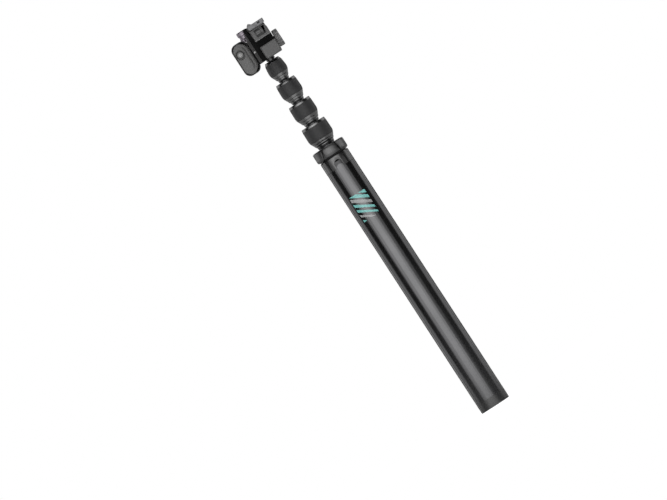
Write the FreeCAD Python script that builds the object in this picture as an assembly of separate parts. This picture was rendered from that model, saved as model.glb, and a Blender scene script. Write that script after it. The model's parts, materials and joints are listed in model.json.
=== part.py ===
import FreeCAD, Part
import math
import os

# Folding tripod on a telescoping pole, with a phone clamp and a small remote at the top.
# Millimetres, Z up. The origin is on the pole's axis, in the plane of the folded feet.
# The front leg points along -Y, and the clamp faces the same way.

os.makedirs("parts", exist_ok=True)
V = FreeCAD.Vector

# Fits between pieces
running_fit = 0.06
free_gap = 0.3
panel_gap = 0.5

# Legs: three shells that close to a round handle
leg_count = 3
leg_angle = 360.0 / leg_count
leg_r = 17.8
leg_wall = 1.6
leg_lip_depth = 3.8
leg_lip_wall = 1.5
foot_height = 11.0
foot_spigot = 14.0
foot_edge = 1.0
sole_flat_r = 9.0
sole_tip_r = 2.6
leg_shell_length = 302.0
leg_cap_height = 14.0
leg_cap_plug = 10.0
leg_cap_skin = 2.0
leg_cap_chamfer = 0.8
tongue_half_width = 4.4
tongue_height = 8.7
tongue_gap = 0.3
leg_open_deg = 25.0

# Leg hinges
hinge_r = 13.2
hinge_below_cap_top = 3.0
hinge_pin_r = 1.25
hinge_pin_half = 10.5
lug_half_width = 4.1
lug_round = 2.3
ear_round = 2.6

# Spreader: a strut from each leg to a ring that slides on the fixed tube
strut_length = 95.0
strut_half_width = 2.4
strut_half_thickness = 1.2
strut_eye_r = 1.8
strut_pin_r = 1.0
bracket_ear = 1.2
bracket_half_height = 5.0
bracket_clear = 2.2
bracket_eye_r = 2.0
ring_wall = 1.1
ring_height = 10.0

# Hub at the top of the legs
hub_r = 19.5
hub_height = 11.6
hub_under_gap = 1.9
hub_lobe_drop = 1.3
hub_edge = 2.0
hub_panel_sink = 0.9
hub_panel_top_half = 7.6
hub_panel_bottom_half = 10.6
hub_groove = 1.1
hub_groove_depth = 1.5

# Telescoping tubes, number 5 is fixed in the hub and number 1 carries the head
tube_od_5 = 19.0
tube_step = 2.6
tube_wall = 0.9
tube_5_bottom = 44.0
plug_floor = 2.0
plug_spigot = 6.0
plug_play = 1.0
bush_length = 40.0
bush_play = 0.08

# Twist locks: (height, greatest radius, radius at the top), lock 4 is the lowest
lock_gap = 0.45
lock_sizes = {
    4: (28.6, 15.2, 14.75),
    3: (27.7, 13.75, 13.2),
    2: (27.6, 12.65, 11.6),
    1: (26.6, 11.2, 8.3),
}
sleeve_wall = 1.1
sleeve_foot = 0.4
sleeve_foot_height = 2.8
thread_fit = 0.08
nut_gap = 0.5
nut_wall = 0.6
nut_cone_height = 6.1
nut_groove = 0.4
nut_groove_start = 0.44
nut_groove_end = 0.54
nut_ring_height = 3.2
nut_ring_share = 0.62
nut_ring_edge = 0.8
grip_wall = 1.8
grip_shoulder = 0.9
grip_foot_height = 4.0
grip_foot_round = 0.3
grip_bulge = 0.1
grip_bulge_share = 0.15
collet_height = 7.0
collet_tip = 0.9
collet_slot = 1.0
collet_top_gap = 2.6

# Head: places are measured from the pole's axis, and heights from the floor
neck_r = 5.2
neck_height = 4.4
neck_gap = 0.5
pan_stud_r = 2.5
pan_stud_height = 6.9
pan_gap = 0.4
pan_disc_r = 7.0
pan_disc_height = 3.5
tilt_above_disc = 8.0
tang_half = 4.7
tilt_round = 6.0
tilt_lug = 3.8
tilt_bolt_r = 2.0
tilt_bolt_head_r = 3.4
tilt_bolt_head = 2.2
knob_r = 10.15
knob_thickness = 6.6
knob_hub_r = 4.2
knob_cover = 3.0
knob_edge = 1.2
knob_flutes = 14
knob_flute_r = 1.4
knob_flute_depth = 0.5

clamp_left = -8.8
clamp_right = 16.0
clamp_front = -13.5
clamp_depth = 6.0
clamp_below_tilt = 14.1
clamp_wall = 1.0
clamp_left_wall = 3.9
clamp_right_wall = 1.8
clamp_floor = 1.2
clamp_corner = 0.8
post_height = 9.2
post_depth = 4.3
post_edge = 0.6
shoulder_reach = 1.9
shoulder_above_clamp = 2.9
fence_reach = 1.6
fence_thickness = 1.2
fence_height = 5.1
slider_wall = 1.0
slider_side = 1.2
slider_lip = 1.5
slider_lip_wall = 0.8

jaw_reach = 15.0
jaw_lip = 2.2
lower_jaw_left = -3.3
lower_jaw_right = 16.5
lower_jaw_height = 12.6
lower_lip_rise = 2.8
pad_thickness = 1.0
pad_margin = 1.0
pad_inset = 0.2
jaw_opening = 10.8
upper_jaw_left = -3.9
upper_jaw_right = 15.5
upper_jaw_height = 11.0
upper_lip_drop = 2.8
bridge_height = 3.5
jaw_edge = 1.5
lower_jaw_corner = 2.5
window_left = 0.6
window_right = 10.4
window_below_top = 2.2
window_height = 8.0
window_depth = 1.2
window_boss = 5.2
window_boss_margin = 1.4
window_boss_sink = 0.3
slant_gap = 0.3
slant_top_width = 2.8
slant_foot_width = 1.3

shoe_left = -3.3
shoe_length = 20.0
shoe_width = 20.4
shoe_wall = 0.9
shoe_base = 1.0
shoe_slot_height = 2.3
shoe_lip = 3.0
shoe_lip_wall = 1.4
shoe_pedestal = 0.8
shoe_behind_middle = 2.0
shoe_corner = 0.8
shoe_pedestal_side = 1.4
shoe_pedestal_front = 2.0
shoe_pedestal_back = 6.0
shoe_stop_height = 2.3
shoe_stop_length = 6.0
shoe_stop_width = 6.0
shoe_stop_inset = 0.2
shoe_stop_peak = 2.0
shoe_stop_flat = 1.2
shoe_notch_left = 9.0
shoe_notch_right = 12.0

spindle_out = 2.2
spindle_r = 1.0
spindle_knob_r = 5.5
spindle_flange_r = 6.4
spindle_knob_height = 9.2
spindle_flange_height = 5.6
spindle_knob_edge = 0.8
spindle_flange_edge = 1.2
spindle_above_clamp = 0.4
cam_r = 3.4
cam_offset = 2.7
cam_height = 4.2
cam_gap = 0.4
cam_edge = 0.5
ear_thickness = 3.0
lower_ear_rise = 2.1
upper_ear_rise = 22.6
eye_half_width = 2.6
eye_behind = 3.0
arm_reach = 3.5
arm_front = 2.5
rail_thickness = 1.2
rail_above_ear = 2.9
web_thickness = 1.2
clip_reach = 2.0
clip_half = 1.1
clip_rise = 0.8

remote_gap = 0.4
remote_width = 19.8
remote_height = 39.2
remote_below_clamp = 6.1
remote_front_y = -13.2
remote_thickness = 7.0
remote_corner = 7.5
remote_edge = 1.8
remote_wall = 1.4
remote_side_wall = 2.0
remote_rim = 1.3
remote_split = 3.0
button_inset = 6.65
button_above_middle = 6.75
button_r = 3.85
button_proud = 0.8
button_fit = 0.1
button_flange = 0.6
button_flange_height = 0.8
button_edge = 0.5
button_ring_gap = 0.5
button_ring_r = 5.5
button_ring_depth = 0.6
button_travel = 0.6
cell_r = 6.25
cell_thickness = 2.0

# Heights that follow from the sizes above
leg_inner_r = leg_r - leg_wall
shell_top = foot_height + leg_shell_length
cap_top = shell_top + leg_cap_height
hinge_z = cap_top - hinge_below_cap_top
strut_top_z = hinge_z - strut_length
ring_z = hinge_z - 2.0 * strut_length
hub_bottom = cap_top + hub_under_gap
hub_top = hub_bottom + hub_height
tube_r = {n: tube_od_5 / 2.0 - (5 - n) * tube_step / 2.0 for n in range(1, 6)}
lock_bottom = {}
lock_top = {}
level = hub_top + lock_gap
for n in (4, 3, 2, 1):
    lock_bottom[n] = level
    lock_top[n] = level + lock_sizes[n][0]
    level = lock_top[n] + lock_gap
neck_bottom = lock_top[1] + neck_gap
neck_top = neck_bottom + neck_height
disc_bottom = neck_top + pan_gap
disc_top = disc_bottom + pan_disc_height
tilt_z = disc_top + tilt_above_disc
clamp_bottom = tilt_z - clamp_below_tilt
clamp_back = clamp_front + clamp_depth
remote_right = clamp_left - arm_reach - remote_gap
remote_left = remote_right - remote_width
remote_bottom = clamp_bottom - remote_below_clamp
remote_back_y = remote_front_y + remote_thickness
clip_y = remote_front_y + remote_thickness / 2.0
button_x = remote_left + button_inset
button_z = remote_bottom + remote_height / 2.0 + button_above_middle
spindle_x = clamp_left - spindle_out
spindle_y = remote_back_y + cam_gap + cam_r
rail_top = clamp_bottom + upper_ear_rise + ear_thickness + rail_above_ear
knob_face = lower_jaw_right
upper_pad_bottom = clamp_bottom + lower_jaw_height + pad_thickness + jaw_opening
upper_jaw_bottom = upper_pad_bottom + pad_thickness
shoe_bottom = upper_jaw_bottom + upper_jaw_height
clamp_top = shoe_bottom - bridge_height - free_gap
shoe_floor = shoe_bottom + shoe_pedestal + shoe_base
shoe_middle = clamp_front - jaw_reach / 2.0 + shoe_behind_middle
tube_end = {n + 1: lock_top[n] - collet_top_gap - collet_height for n in (4, 3, 2, 1)}
tube_end[1] = neck_top - collet_slot - 0.2
tube_start = {5: tube_5_bottom}
tube_start[4] = tube_5_bottom + plug_spigot + plug_play + plug_floor - 0.5
for n in (3, 2, 1):
    tube_start[n] = tube_start[n + 1] + plug_play + plug_floor


def cylinder(radius, low, high, x=0.0, y=0.0):
    return Part.makeCylinder(radius, high - low, V(x, y, low))


def cross_rod(radius, left, right, y, z):
    return Part.makeCylinder(radius, right - left, V(left, y, z), V(1, 0, 0))


def depth_rod(radius, front, back, x, z):
    return Part.makeCylinder(radius, back - front, V(x, front, z), V(0, 1, 0))


def block(x0, x1, y0, y1, z0, z1):
    return Part.makeBox(x1 - x0, y1 - y0, z1 - z0, V(x0, y0, z0))


def pipe(outer, inner, low, high):
    return cylinder(outer, low, high).cut(cylinder(inner, low - 1, high + 1))


def prism(points, direction):
    """A straight prism on a closed outline of points."""
    outline = Part.makePolygon(points + [points[0]])
    return Part.Face(outline).extrude(direction)


def turned(points):
    """A solid of revolution about the pole's axis, from (radius, height) points."""
    outline = Part.makePolygon([V(r, 0, z) for r, z in points + [points[0]]])
    return Part.Face(outline).revolve(V(0, 0, 0), V(0, 0, 1), 360)


def joined(shapes):
    result = shapes[0]
    for shape in shapes[1:]:
        result = result.fuse(shape)
    return result.removeSplitter()


def edges_where(shape, test):
    return [edge for edge in shape.Edges if test(edge)]


def is_along(edge, axis):
    """True for a straight edge that runs along the axis."""
    if len(edge.Vertexes) != 2 or not isinstance(edge.Curve, Part.Line):
        return False
    run = edge.Vertexes[1].Point.sub(edge.Vertexes[0].Point).normalize()
    return abs(abs(run.dot(axis)) - 1.0) < 1e-6


def centre_of(edge):
    return edge.BoundBox.Center


def round_edges(shape):
    return edges_where(shape, lambda e: isinstance(e.Curve, Part.Circle))


def save(name, shape):
    assert shape.isValid() and shape.Solids, name
    shape.exportStep(os.path.join("parts", name + ".step"))


def around(shape, number):
    """A copy of a front-leg piece, turned to leg 1, 2 or 3."""
    copy = shape.copy()
    copy.rotate(V(0, 0, 0), V(0, 0, 1), leg_angle * (number - 1))
    return copy


def leg_sector(side_gap, low, high):
    """The front third of a round bar, drawn in by side_gap from each cut plane."""
    half = math.radians(leg_angle / 2.0)
    reach = 4.0 * leg_r
    apex = -side_gap / math.sin(half)
    right = V(reach * math.sin(half), apex - reach * math.cos(half), low)
    left = V(-right.x, right.y, low)
    return prism([V(0, apex, low), left, right], V(0, 0, high - low))


def arch(half_width, low, high):
    """An upright arch-shaped bar along Y, for the shell's tongue and its opening."""
    straight = block(-half_width, half_width, -2 * leg_r, -hinge_r, low, high - half_width)
    crown = depth_rod(half_width, -2 * leg_r, -hinge_r, 0, high - half_width)
    return straight.fuse(crown)


def leg_shell():
    """A third of a round aluminium extrusion, with turned-in lips and an arched tongue on top."""
    side = panel_gap / 2.0
    skin = pipe(leg_r, leg_inner_r, foot_height, shell_top).common(
        leg_sector(side, foot_height, shell_top))
    lips = pipe(leg_inner_r + 0.1, leg_inner_r - leg_lip_depth, foot_height, shell_top)
    lips = lips.common(leg_sector(side, foot_height, shell_top))
    lips = lips.cut(leg_sector(side + leg_lip_wall, foot_height - 1, shell_top + 1))
    tongue = pipe(leg_r, leg_inner_r, shell_top, shell_top + tongue_height)
    tongue = tongue.common(arch(tongue_half_width, shell_top - 1, shell_top + tongue_height))
    return joined([skin, lips, tongue])


def foot_cap():
    """A foot that closes a third of the handle's end, with a second sole for the open stance."""
    side = panel_gap / 2.0
    body = cylinder(leg_r, 0, foot_height)
    body = body.makeFillet(foot_edge, edges_where(body, lambda e: centre_of(e).z < 0.01
                                                  and isinstance(e.Curve, Part.Circle)))
    body = body.common(leg_sector(side, -1, foot_height + 1))
    body = body.cut(cylinder(sole_tip_r, -1, foot_height + 1))
    rise = sole_flat_r * math.tan(math.radians(leg_open_deg))
    slope = prism([V(-leg_r, -sole_flat_r, 0), V(-leg_r, 0, 0), V(-leg_r, 0, rise)],
                  V(2 * leg_r, 0, 0))
    slope = slope.fuse(block(-leg_r, leg_r, -sole_flat_r, 0, -1, 0))
    body = body.cut(slope)
    spigot_top = foot_height + foot_spigot
    spigot = pipe(leg_inner_r - running_fit, leg_inner_r - leg_lip_depth, foot_height - 1, spigot_top)
    spigot = spigot.common(leg_sector(side + leg_lip_wall + running_fit, foot_height - 1, spigot_top))
    return joined([body, spigot])


def side_relief():
    """What is cut off a leg cap's upper corners, so that the caps clear each other when open."""
    half = math.radians(leg_angle / 2.0)
    along = V(math.sin(half), -math.cos(half), 0)
    outward = V(math.cos(half), math.sin(half), 0)
    lean = math.sin(math.radians(leg_open_deg)) * math.sin(half) + 0.03
    rise = cap_top + 1 - hinge_z
    base = along * -leg_r - outward * (panel_gap / 2.0) + V(0, 0, hinge_z)
    points = [base, base + V(0, 0, rise) - outward * (rise * lean),
              base + V(0, 0, rise) + outward * leg_r, base + outward * leg_r]
    right = prism(points, along * (3 * leg_r))
    return right.fuse(right.mirror(V(0, 0, 0), V(1, 0, 0)))


def leg_cap():
    """The moulded top of a leg: a round skin, a plug in the shell and two hinge ears."""
    side = panel_gap / 2.0
    edge = leg_cap_chamfer
    inner = leg_r - leg_cap_skin
    skin = turned([(inner, shell_top), (leg_r, shell_top), (leg_r, cap_top - edge),
                   (leg_r - edge, cap_top), (inner, cap_top)])
    skin = skin.common(leg_sector(side, shell_top, cap_top))
    ear_top = hinge_z + ear_round - 0.2
    upper = block(-leg_r, leg_r, -leg_r + 1, -hinge_r, shell_top, ear_top)
    upper = upper.fuse(block(-leg_r, leg_r, -hinge_r, -hinge_r + ear_round, shell_top, hinge_z))
    upper = upper.fuse(cross_rod(ear_round, -leg_r, leg_r, -hinge_r, hinge_z))
    upper = upper.common(cylinder(leg_r - 1, shell_top, cap_top))
    upper = upper.common(leg_sector(side, shell_top, cap_top))
    plug = pipe(leg_inner_r - running_fit, leg_inner_r - leg_lip_depth,
                shell_top - leg_cap_plug, shell_top + 1)
    plug = plug.common(leg_sector(side + leg_lip_wall + running_fit,
                                  shell_top - leg_cap_plug, shell_top + 1))
    cap = joined([skin, upper, plug])
    pocket = block(-lug_half_width - free_gap, lug_half_width + free_gap, -inner, 0,
                   hinge_z - lug_round - panel_gap, cap_top + 1)
    cap = cap.cut(pocket)
    cap = cap.cut(cross_rod(hinge_pin_r + running_fit, -hinge_pin_half - 0.5,
                            hinge_pin_half + 0.5, -hinge_r, hinge_z))
    opening = arch(tongue_half_width + tongue_gap, shell_top - 1, shell_top + tongue_height + tongue_gap)
    opening = opening.common(pipe(leg_r + 1, leg_inner_r - running_fit, shell_top, cap_top))
    cap = cap.cut(opening)
    return cap.cut(side_relief())


def hinge_pin():
    return cross_rod(hinge_pin_r, -hinge_pin_half, hinge_pin_half, -hinge_r, hinge_z)


def hub_lug():
    """The lug between a leg's two ears. Its outer face leans back to let the cap's skin turn."""
    lean = math.radians(leg_open_deg)
    top = hub_bottom + 1
    back = -tube_r[5] - 0.4
    width = 2 * lug_half_width
    touch = V(-lug_half_width, -hinge_r - lug_round * math.cos(lean), hinge_z + lug_round * math.sin(lean))
    run = (top - touch.z) / math.cos(lean)
    lean_top = touch + V(0, run * math.sin(lean), run * math.cos(lean))
    neck = prism([V(-lug_half_width, -hinge_r, hinge_z), touch, lean_top,
                  V(-lug_half_width, back, top), V(-lug_half_width, back, hinge_z)], V(width, 0, 0))
    eye = cross_rod(lug_round, -lug_half_width, lug_half_width, -hinge_r, hinge_z)
    lug = neck.fuse(eye)
    return lug.cut(cross_rod(hinge_pin_r, -leg_r, leg_r, -hinge_r, hinge_z))


def hub_panel_tools():
    """The sunk front panel of the hub and its two slanted grooves, as shapes to cut away."""
    low = hub_bottom - 1
    high = hub_top + 1
    panel = prism([V(-hub_panel_bottom_half, -2 * hub_r, low), V(hub_panel_bottom_half, -2 * hub_r, low),
                   V(hub_panel_top_half, -2 * hub_r, high), V(-hub_panel_top_half, -2 * hub_r, high)],
                  V(0, 2 * hub_r, 0))
    panel = panel.cut(cylinder(hub_r - hub_panel_sink, low, high))
    groove = prism([V(hub_panel_bottom_half, -2 * hub_r, low),
                    V(hub_panel_bottom_half + hub_groove, -2 * hub_r, low),
                    V(hub_panel_top_half + hub_groove, -2 * hub_r, high),
                    V(hub_panel_top_half, -2 * hub_r, high)], V(0, 2 * hub_r, 0))
    groove = groove.fuse(groove.mirror(V(0, 0, 0), V(1, 0, 0)))
    return panel.fuse(groove.cut(cylinder(hub_r - hub_groove_depth, low, high)))


def hub_collar():
    """The hub: a thick round collar with a sunk panel over each leg, and three hinge lugs.
    The lobes between the panels hang lower, because nothing under them swings up."""
    low = hub_bottom - hub_lobe_drop
    body = cylinder(hub_r, low, hub_top)
    body = body.makeFillet(hub_edge, round_edges(body))
    half = hub_panel_bottom_half + hub_groove
    under = block(-half, half, -2 * hub_r, 0, low - 1, hub_bottom)
    for number in range(1, leg_count + 1):
        body = body.cut(around(under, number)).cut(around(hub_panel_tools(), number))
    body = body.cut(cylinder(tube_r[5], low - 1, hub_top + 1))
    lugs = [around(hub_lug(), number) for number in range(1, leg_count + 1)]
    return joined([body] + lugs)


def strut_bracket():
    """A folded bracket on the inside of a leg, with the ears that carry the strut's pin."""
    web_front = -hinge_r - bracket_clear
    inner = strut_half_width + free_gap
    outer = inner + bracket_ear
    low = strut_top_z - bracket_half_height
    high = strut_top_z + bracket_half_height
    web = block(-outer, outer, -leg_r, web_front, low, high)
    ears = []
    for side in (-1, 1):
        x0 = min(side * inner, side * outer)
        ear = block(x0, x0 + bracket_ear, -leg_r, -hinge_r, strut_top_z - bracket_eye_r,
                    strut_top_z + bracket_eye_r)
        ears.append(ear.fuse(cross_rod(bracket_eye_r, x0, x0 + bracket_ear, -hinge_r, strut_top_z)))
    bracket = joined([web] + ears).common(cylinder(leg_inner_r, low, high))
    return bracket.cut(cross_rod(strut_pin_r, -leg_r, leg_r, -hinge_r, strut_top_z))


def strut_pin(height):
    half = strut_half_width + free_gap + bracket_ear + 0.3
    return cross_rod(strut_pin_r, -half, half, -hinge_r, height)


def strut():
    """A flat bar with an eye at each end and a shallow channel down both faces."""
    half = strut_half_width
    bar = block(-half, half, -hinge_r - strut_half_thickness, -hinge_r + strut_half_thickness,
                ring_z, strut_top_z)
    for height in (ring_z, strut_top_z):
        bar = bar.fuse(cross_rod(strut_eye_r, -half, half, -hinge_r, height))
    for height in (ring_z, strut_top_z):
        bar = bar.cut(cross_rod(strut_pin_r + running_fit, -half - 1, half + 1, -hinge_r, height))
    channel_low = ring_z + 3 * strut_eye_r
    channel_high = strut_top_z - 3 * strut_eye_r
    for side in (-1, 1):
        face = -hinge_r + side * strut_half_thickness
        channel = block(-half + 1, half - 1, min(face, face - side * 0.5), max(face, face - side * 0.5),
                        channel_low, channel_high)
        bar = bar.cut(channel)
    return bar.removeSplitter()


def spreader_ring():
    """The sliding ring: a sleeve round the fixed tube, with a fork for each strut."""
    bore = tube_r[5] + free_gap
    outer_r = bore + ring_wall
    low = ring_z - ring_height / 2.0
    high = ring_z + ring_height / 2.0
    inner = strut_half_width + free_gap
    pieces = [cylinder(outer_r, low, high)]
    for number in range(1, leg_count + 1):
        for side in (-1, 1):
            x0 = min(side * inner, side * (inner + bracket_ear))
            ear = block(x0, x0 + bracket_ear, -hinge_r, -tube_r[5], ring_z - bracket_eye_r,
                        ring_z + bracket_eye_r)
            ear = ear.fuse(cross_rod(bracket_eye_r, x0, x0 + bracket_ear, -hinge_r, ring_z))
            pieces.append(around(ear, number))
    ring = joined(pieces).cut(cylinder(bore, low - 1, high + 1))
    for number in range(1, leg_count + 1):
        hole = cross_rod(strut_pin_r, -leg_r / 2, leg_r / 2, -hinge_r, ring_z)
        ring = ring.cut(around(hole, number))
    return ring


def pole_tube(n):
    return pipe(tube_r[n], tube_r[n] - tube_wall, tube_start[n], tube_end[n])


def end_plug():
    """The plug that closes the fixed tube's lower end."""
    inner = tube_r[5] - tube_wall
    return turned([(0, tube_start[5] - plug_floor), (tube_r[5], tube_start[5] - plug_floor),
                   (tube_r[5], tube_start[5]), (inner, tube_start[5]),
                   (inner, tube_start[5] + plug_spigot), (0, tube_start[5] + plug_spigot)])


def guide_bush(n):
    """A thin cup on a sliding tube's lower end. It guides the tube and stops it at full reach."""
    outer = tube_r[n + 1] - tube_wall - bush_play
    floor = tube_start[n] - plug_floor
    return turned([(0, floor), (outer, floor), (outer, floor + bush_length),
                   (tube_r[n], floor + bush_length), (tube_r[n], tube_start[n]), (0, tube_start[n])])


def lock_sleeve(n):
    """The fixed half of a twist lock: a flared foot, a plain thread length and split fingers."""
    fixed = tube_r[n + 1]
    moving = tube_r[n] + running_fit
    low = lock_bottom[n]
    shoulder = tube_end[n + 1]
    tip = lock_top[n] - collet_top_gap
    body_r = fixed + sleeve_wall
    sleeve = turned([(fixed, low), (fixed + sleeve_foot, low),
                     (body_r + 0.1, low + sleeve_foot_height), (body_r, low + sleeve_foot_height),
                     (body_r, shoulder + 0.5), (tube_r[n] + collet_tip, tip), (moving, tip),
                     (moving, shoulder), (fixed, shoulder)])
    for turn in range(3):
        slot = block(-fixed * 2, fixed * 2, -collet_slot / 2, collet_slot / 2, shoulder + 1, tip + 1)
        slot.rotate(V(0, 0, 0), V(0, 0, 1), turn * 60 + 30)
        sleeve = sleeve.cut(slot)
    return sleeve


def nut_levels(n):
    """Heights of a nut: its lower edge, the top of its cone and the foot of its top ring."""
    low = lock_bottom[n] + sleeve_foot_height + nut_gap
    return low, low + nut_cone_height, lock_top[n] - nut_ring_height


def nut_radii(n):
    """Radii of a nut: under the grip, at the grip's lower edge and at the top ring's foot."""
    widest, top_r = lock_sizes[n][1:]
    return widest - grip_wall, widest - grip_shoulder, top_r + nut_ring_share * (widest - top_r)


def lock_nut(n):
    """The turning half of a twist lock: a grooved cone, a core for the grip and a top ring."""
    top_r = lock_sizes[n][2]
    core, shoulder_r, ring_r = nut_radii(n)
    low, cone_top, ring_low = nut_levels(n)
    top = lock_top[n]
    thread = tube_r[n + 1] + sleeve_wall + thread_fit
    first = thread + nut_wall
    flare = shoulder_r - first
    fingers = tube_end[n + 1]
    tip = top - collet_top_gap
    groove_middle = (nut_groove_start + nut_groove_end) / 2.0
    edge_r = top_r + (ring_r - top_r) / 3.0
    outside = [(thread, low), (first, low)]
    outside.append((first + nut_groove_start * flare, low + nut_groove_start * nut_cone_height))
    outside.append((first + groove_middle * flare - nut_groove, low + groove_middle * nut_cone_height))
    outside.append((first + nut_groove_end * flare, low + nut_groove_end * nut_cone_height))
    outside += [(shoulder_r, cone_top), (core, cone_top), (core, ring_low), (ring_r, ring_low)]
    outside += [(edge_r, top - nut_ring_edge), (edge_r - nut_ring_edge / 2.0, top)]
    inside = [(tube_r[n] + 0.35, top), (tube_r[n] + 0.35, tip + free_gap)]
    inside += [(tube_r[n] + collet_tip + free_gap, tip + free_gap), (thread, fingers + nut_ring_edge)]
    return turned(outside + inside)


def lock_grip(n):
    """The rubber sleeve round a nut, barrel-shaped, between the nut's cone and its top ring."""
    widest = lock_sizes[n][1]
    core, shoulder_r, ring_r = nut_radii(n)
    low, high = nut_levels(n)[1:]
    full_z = low + grip_foot_height
    bulge = grip_bulge + grip_bulge_share * (widest - ring_r)

    def point(r, z):
        return V(r, 0, z)

    foot = Part.Arc(point(shoulder_r, low), point(widest - grip_foot_round, low + grip_foot_height / 2.0),
                    point(widest, full_z)).toShape()
    side = Part.Arc(point(widest, full_z), point((widest + ring_r) / 2.0 + bulge, (full_z + high) / 2.0),
                    point(ring_r, high)).toShape()
    inside = Part.makePolygon([point(ring_r, high), point(core, high), point(core, low),
                               point(shoulder_r, low)])
    outline = Part.Wire([foot, side] + inside.Edges)
    return Part.Face(outline).revolve(V(0, 0, 0), V(0, 0, 1), 360)


def neck_plug():
    """The top of the last tube: a collar over it and the stud that the head turns on."""
    outer = tube_r[1]
    inner = outer - tube_wall
    return turned([(0, tube_end[1] - 8), (inner, tube_end[1] - 8), (inner, tube_end[1]),
                   (outer, tube_end[1]), (outer, neck_bottom), (neck_r, neck_bottom),
                   (neck_r, neck_top), (pan_stud_r, neck_top), (pan_stud_r, neck_top + pan_stud_height),
                   (0, neck_top + pan_stud_height)])


def swivel_base():
    """The turning base of the head: a disc on the neck, with the tang of the tilt hinge."""
    disc = cylinder(pan_disc_r, disc_bottom, disc_top)
    tang = block(-tang_half, tang_half, -tilt_round, tilt_round, disc_top - 1, tilt_z)
    tang = tang.common(cylinder(pan_disc_r, disc_top - 1, tilt_z))
    round_end = cross_rod(tilt_round, -tang_half, tang_half, 0, tilt_z)
    base = joined([disc, tang, round_end])
    base = base.cut(cross_rod(tilt_bolt_r + running_fit, -tang_half - 1, tang_half + 1, 0, tilt_z))
    return base.cut(cylinder(pan_stud_r + running_fit, disc_bottom - 1, neck_top + pan_stud_height + 0.5))


def spindle_ear(rise):
    """An ear on the clamp's left side that carries the lock spindle and a clip for the remote."""
    low = clamp_bottom + rise
    high = low + ear_thickness
    left = clamp_left - arm_reach
    arm = block(left, clamp_left + 0.1, clip_y - arm_front, spindle_y, low, high)
    eye = block(spindle_x - eye_half_width, clamp_left + 0.1, remote_back_y + 2 * free_gap,
                spindle_y + eye_behind, low, high)
    middle = (low + high) / 2.0
    clip = block(left - clip_reach, left + 0.1, clip_y - clip_half, clip_y + clip_half,
                 middle - clip_rise, middle + clip_rise)
    ear = arm.fuse(eye).fuse(clip)
    return ear.cut(cylinder(spindle_r + running_fit, low - 1, high + 1, spindle_x, spindle_y))


def remote_rail():
    """The rail that joins the two ears in front, along the side of the remote."""
    front = clip_y - arm_front
    rail = block(clamp_left - arm_reach, clamp_left + 0.1, front, front + rail_thickness,
                 clamp_bottom, rail_top)
    outer = edges_where(rail, lambda e: is_along(e, V(0, 1, 0)) and centre_of(e).x < clamp_left - 1)
    return rail.makeFillet(rail_thickness, outer)


def ear_web():
    """The flat web behind the spindle that stiffens the two ears."""
    back = spindle_y + eye_behind
    return block(spindle_x - eye_half_width, clamp_left + 0.1, back - web_thickness, back,
                 clamp_bottom, rail_top)


def clamp_post():
    """The post at the clamp's left, with a shoulder beside the spindle's knob."""
    back = clamp_front + post_depth
    post = block(clamp_left, clamp_left + clamp_left_wall, clamp_front, back,
                 clamp_top - 1, clamp_top + post_height)
    shoulder = block(clamp_left - shoulder_reach, clamp_left + 1, clamp_front, back,
                     rail_top - 0.1, clamp_top + shoulder_above_clamp)
    post = post.makeFillet(post_edge, edges_where(post, lambda e: is_along(e, V(0, 0, 1))))
    outer = edges_where(shoulder, lambda e: is_along(e, V(0, 0, 1)) and centre_of(e).x < clamp_left)
    return post.fuse(shoulder.makeFillet(post_edge, outer))


def clamp_frame():
    """The back of the phone clamp: a flat channel, open at the top, with two tilt lugs behind
    and a post at its left. Two ears and a rail at its left side hold the spindle and the remote."""
    box = block(clamp_left, clamp_right, clamp_front, clamp_back, clamp_bottom, clamp_top)
    box = box.makeFillet(clamp_corner, edges_where(box, lambda e: is_along(e, V(0, 0, 1))))
    pieces = [box, clamp_post()]
    hinge_face = tang_half + free_gap
    for left, right in ((-hinge_face - tilt_lug, -hinge_face), (hinge_face, hinge_face + tilt_lug)):
        lug = block(left, right, clamp_back - 0.5, 0, tilt_z - tilt_round, tilt_z + tilt_round)
        pieces.append(lug.fuse(cross_rod(tilt_round, left, right, 0, tilt_z)))
    pieces += [spindle_ear(lower_ear_rise), spindle_ear(upper_ear_rise), remote_rail(), ear_web()]
    frame = joined(pieces)
    channel = block(clamp_left + clamp_left_wall, clamp_right - clamp_right_wall,
                    clamp_front + clamp_wall, clamp_back - clamp_wall,
                    clamp_bottom + clamp_floor, clamp_top + 1)
    frame = frame.cut(channel)
    bolt_reach = hinge_face + tilt_lug + 1
    frame = frame.cut(cross_rod(tilt_bolt_r, -bolt_reach, bolt_reach, 0, tilt_z))
    return frame.cut(bolt_head())


def bolt_head():
    """The tilt bolt's hexagon head, set in the left lug."""
    left = -tang_half - free_gap - tilt_lug
    corners = []
    for step in range(6):
        angle = math.radians(60 * step)
        corners.append(V(left, tilt_bolt_head_r * math.cos(angle),
                         tilt_z + tilt_bolt_head_r * math.sin(angle)))
    return prism(corners, V(tilt_bolt_head, 0, 0))


def tilt_bolt():
    shank = cross_rod(tilt_bolt_r, -tang_half - free_gap - tilt_lug + tilt_bolt_head - 0.2,
                      knob_face + knob_thickness - knob_cover - 0.5, 0, tilt_z)
    return joined([bolt_head(), shank])


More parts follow.
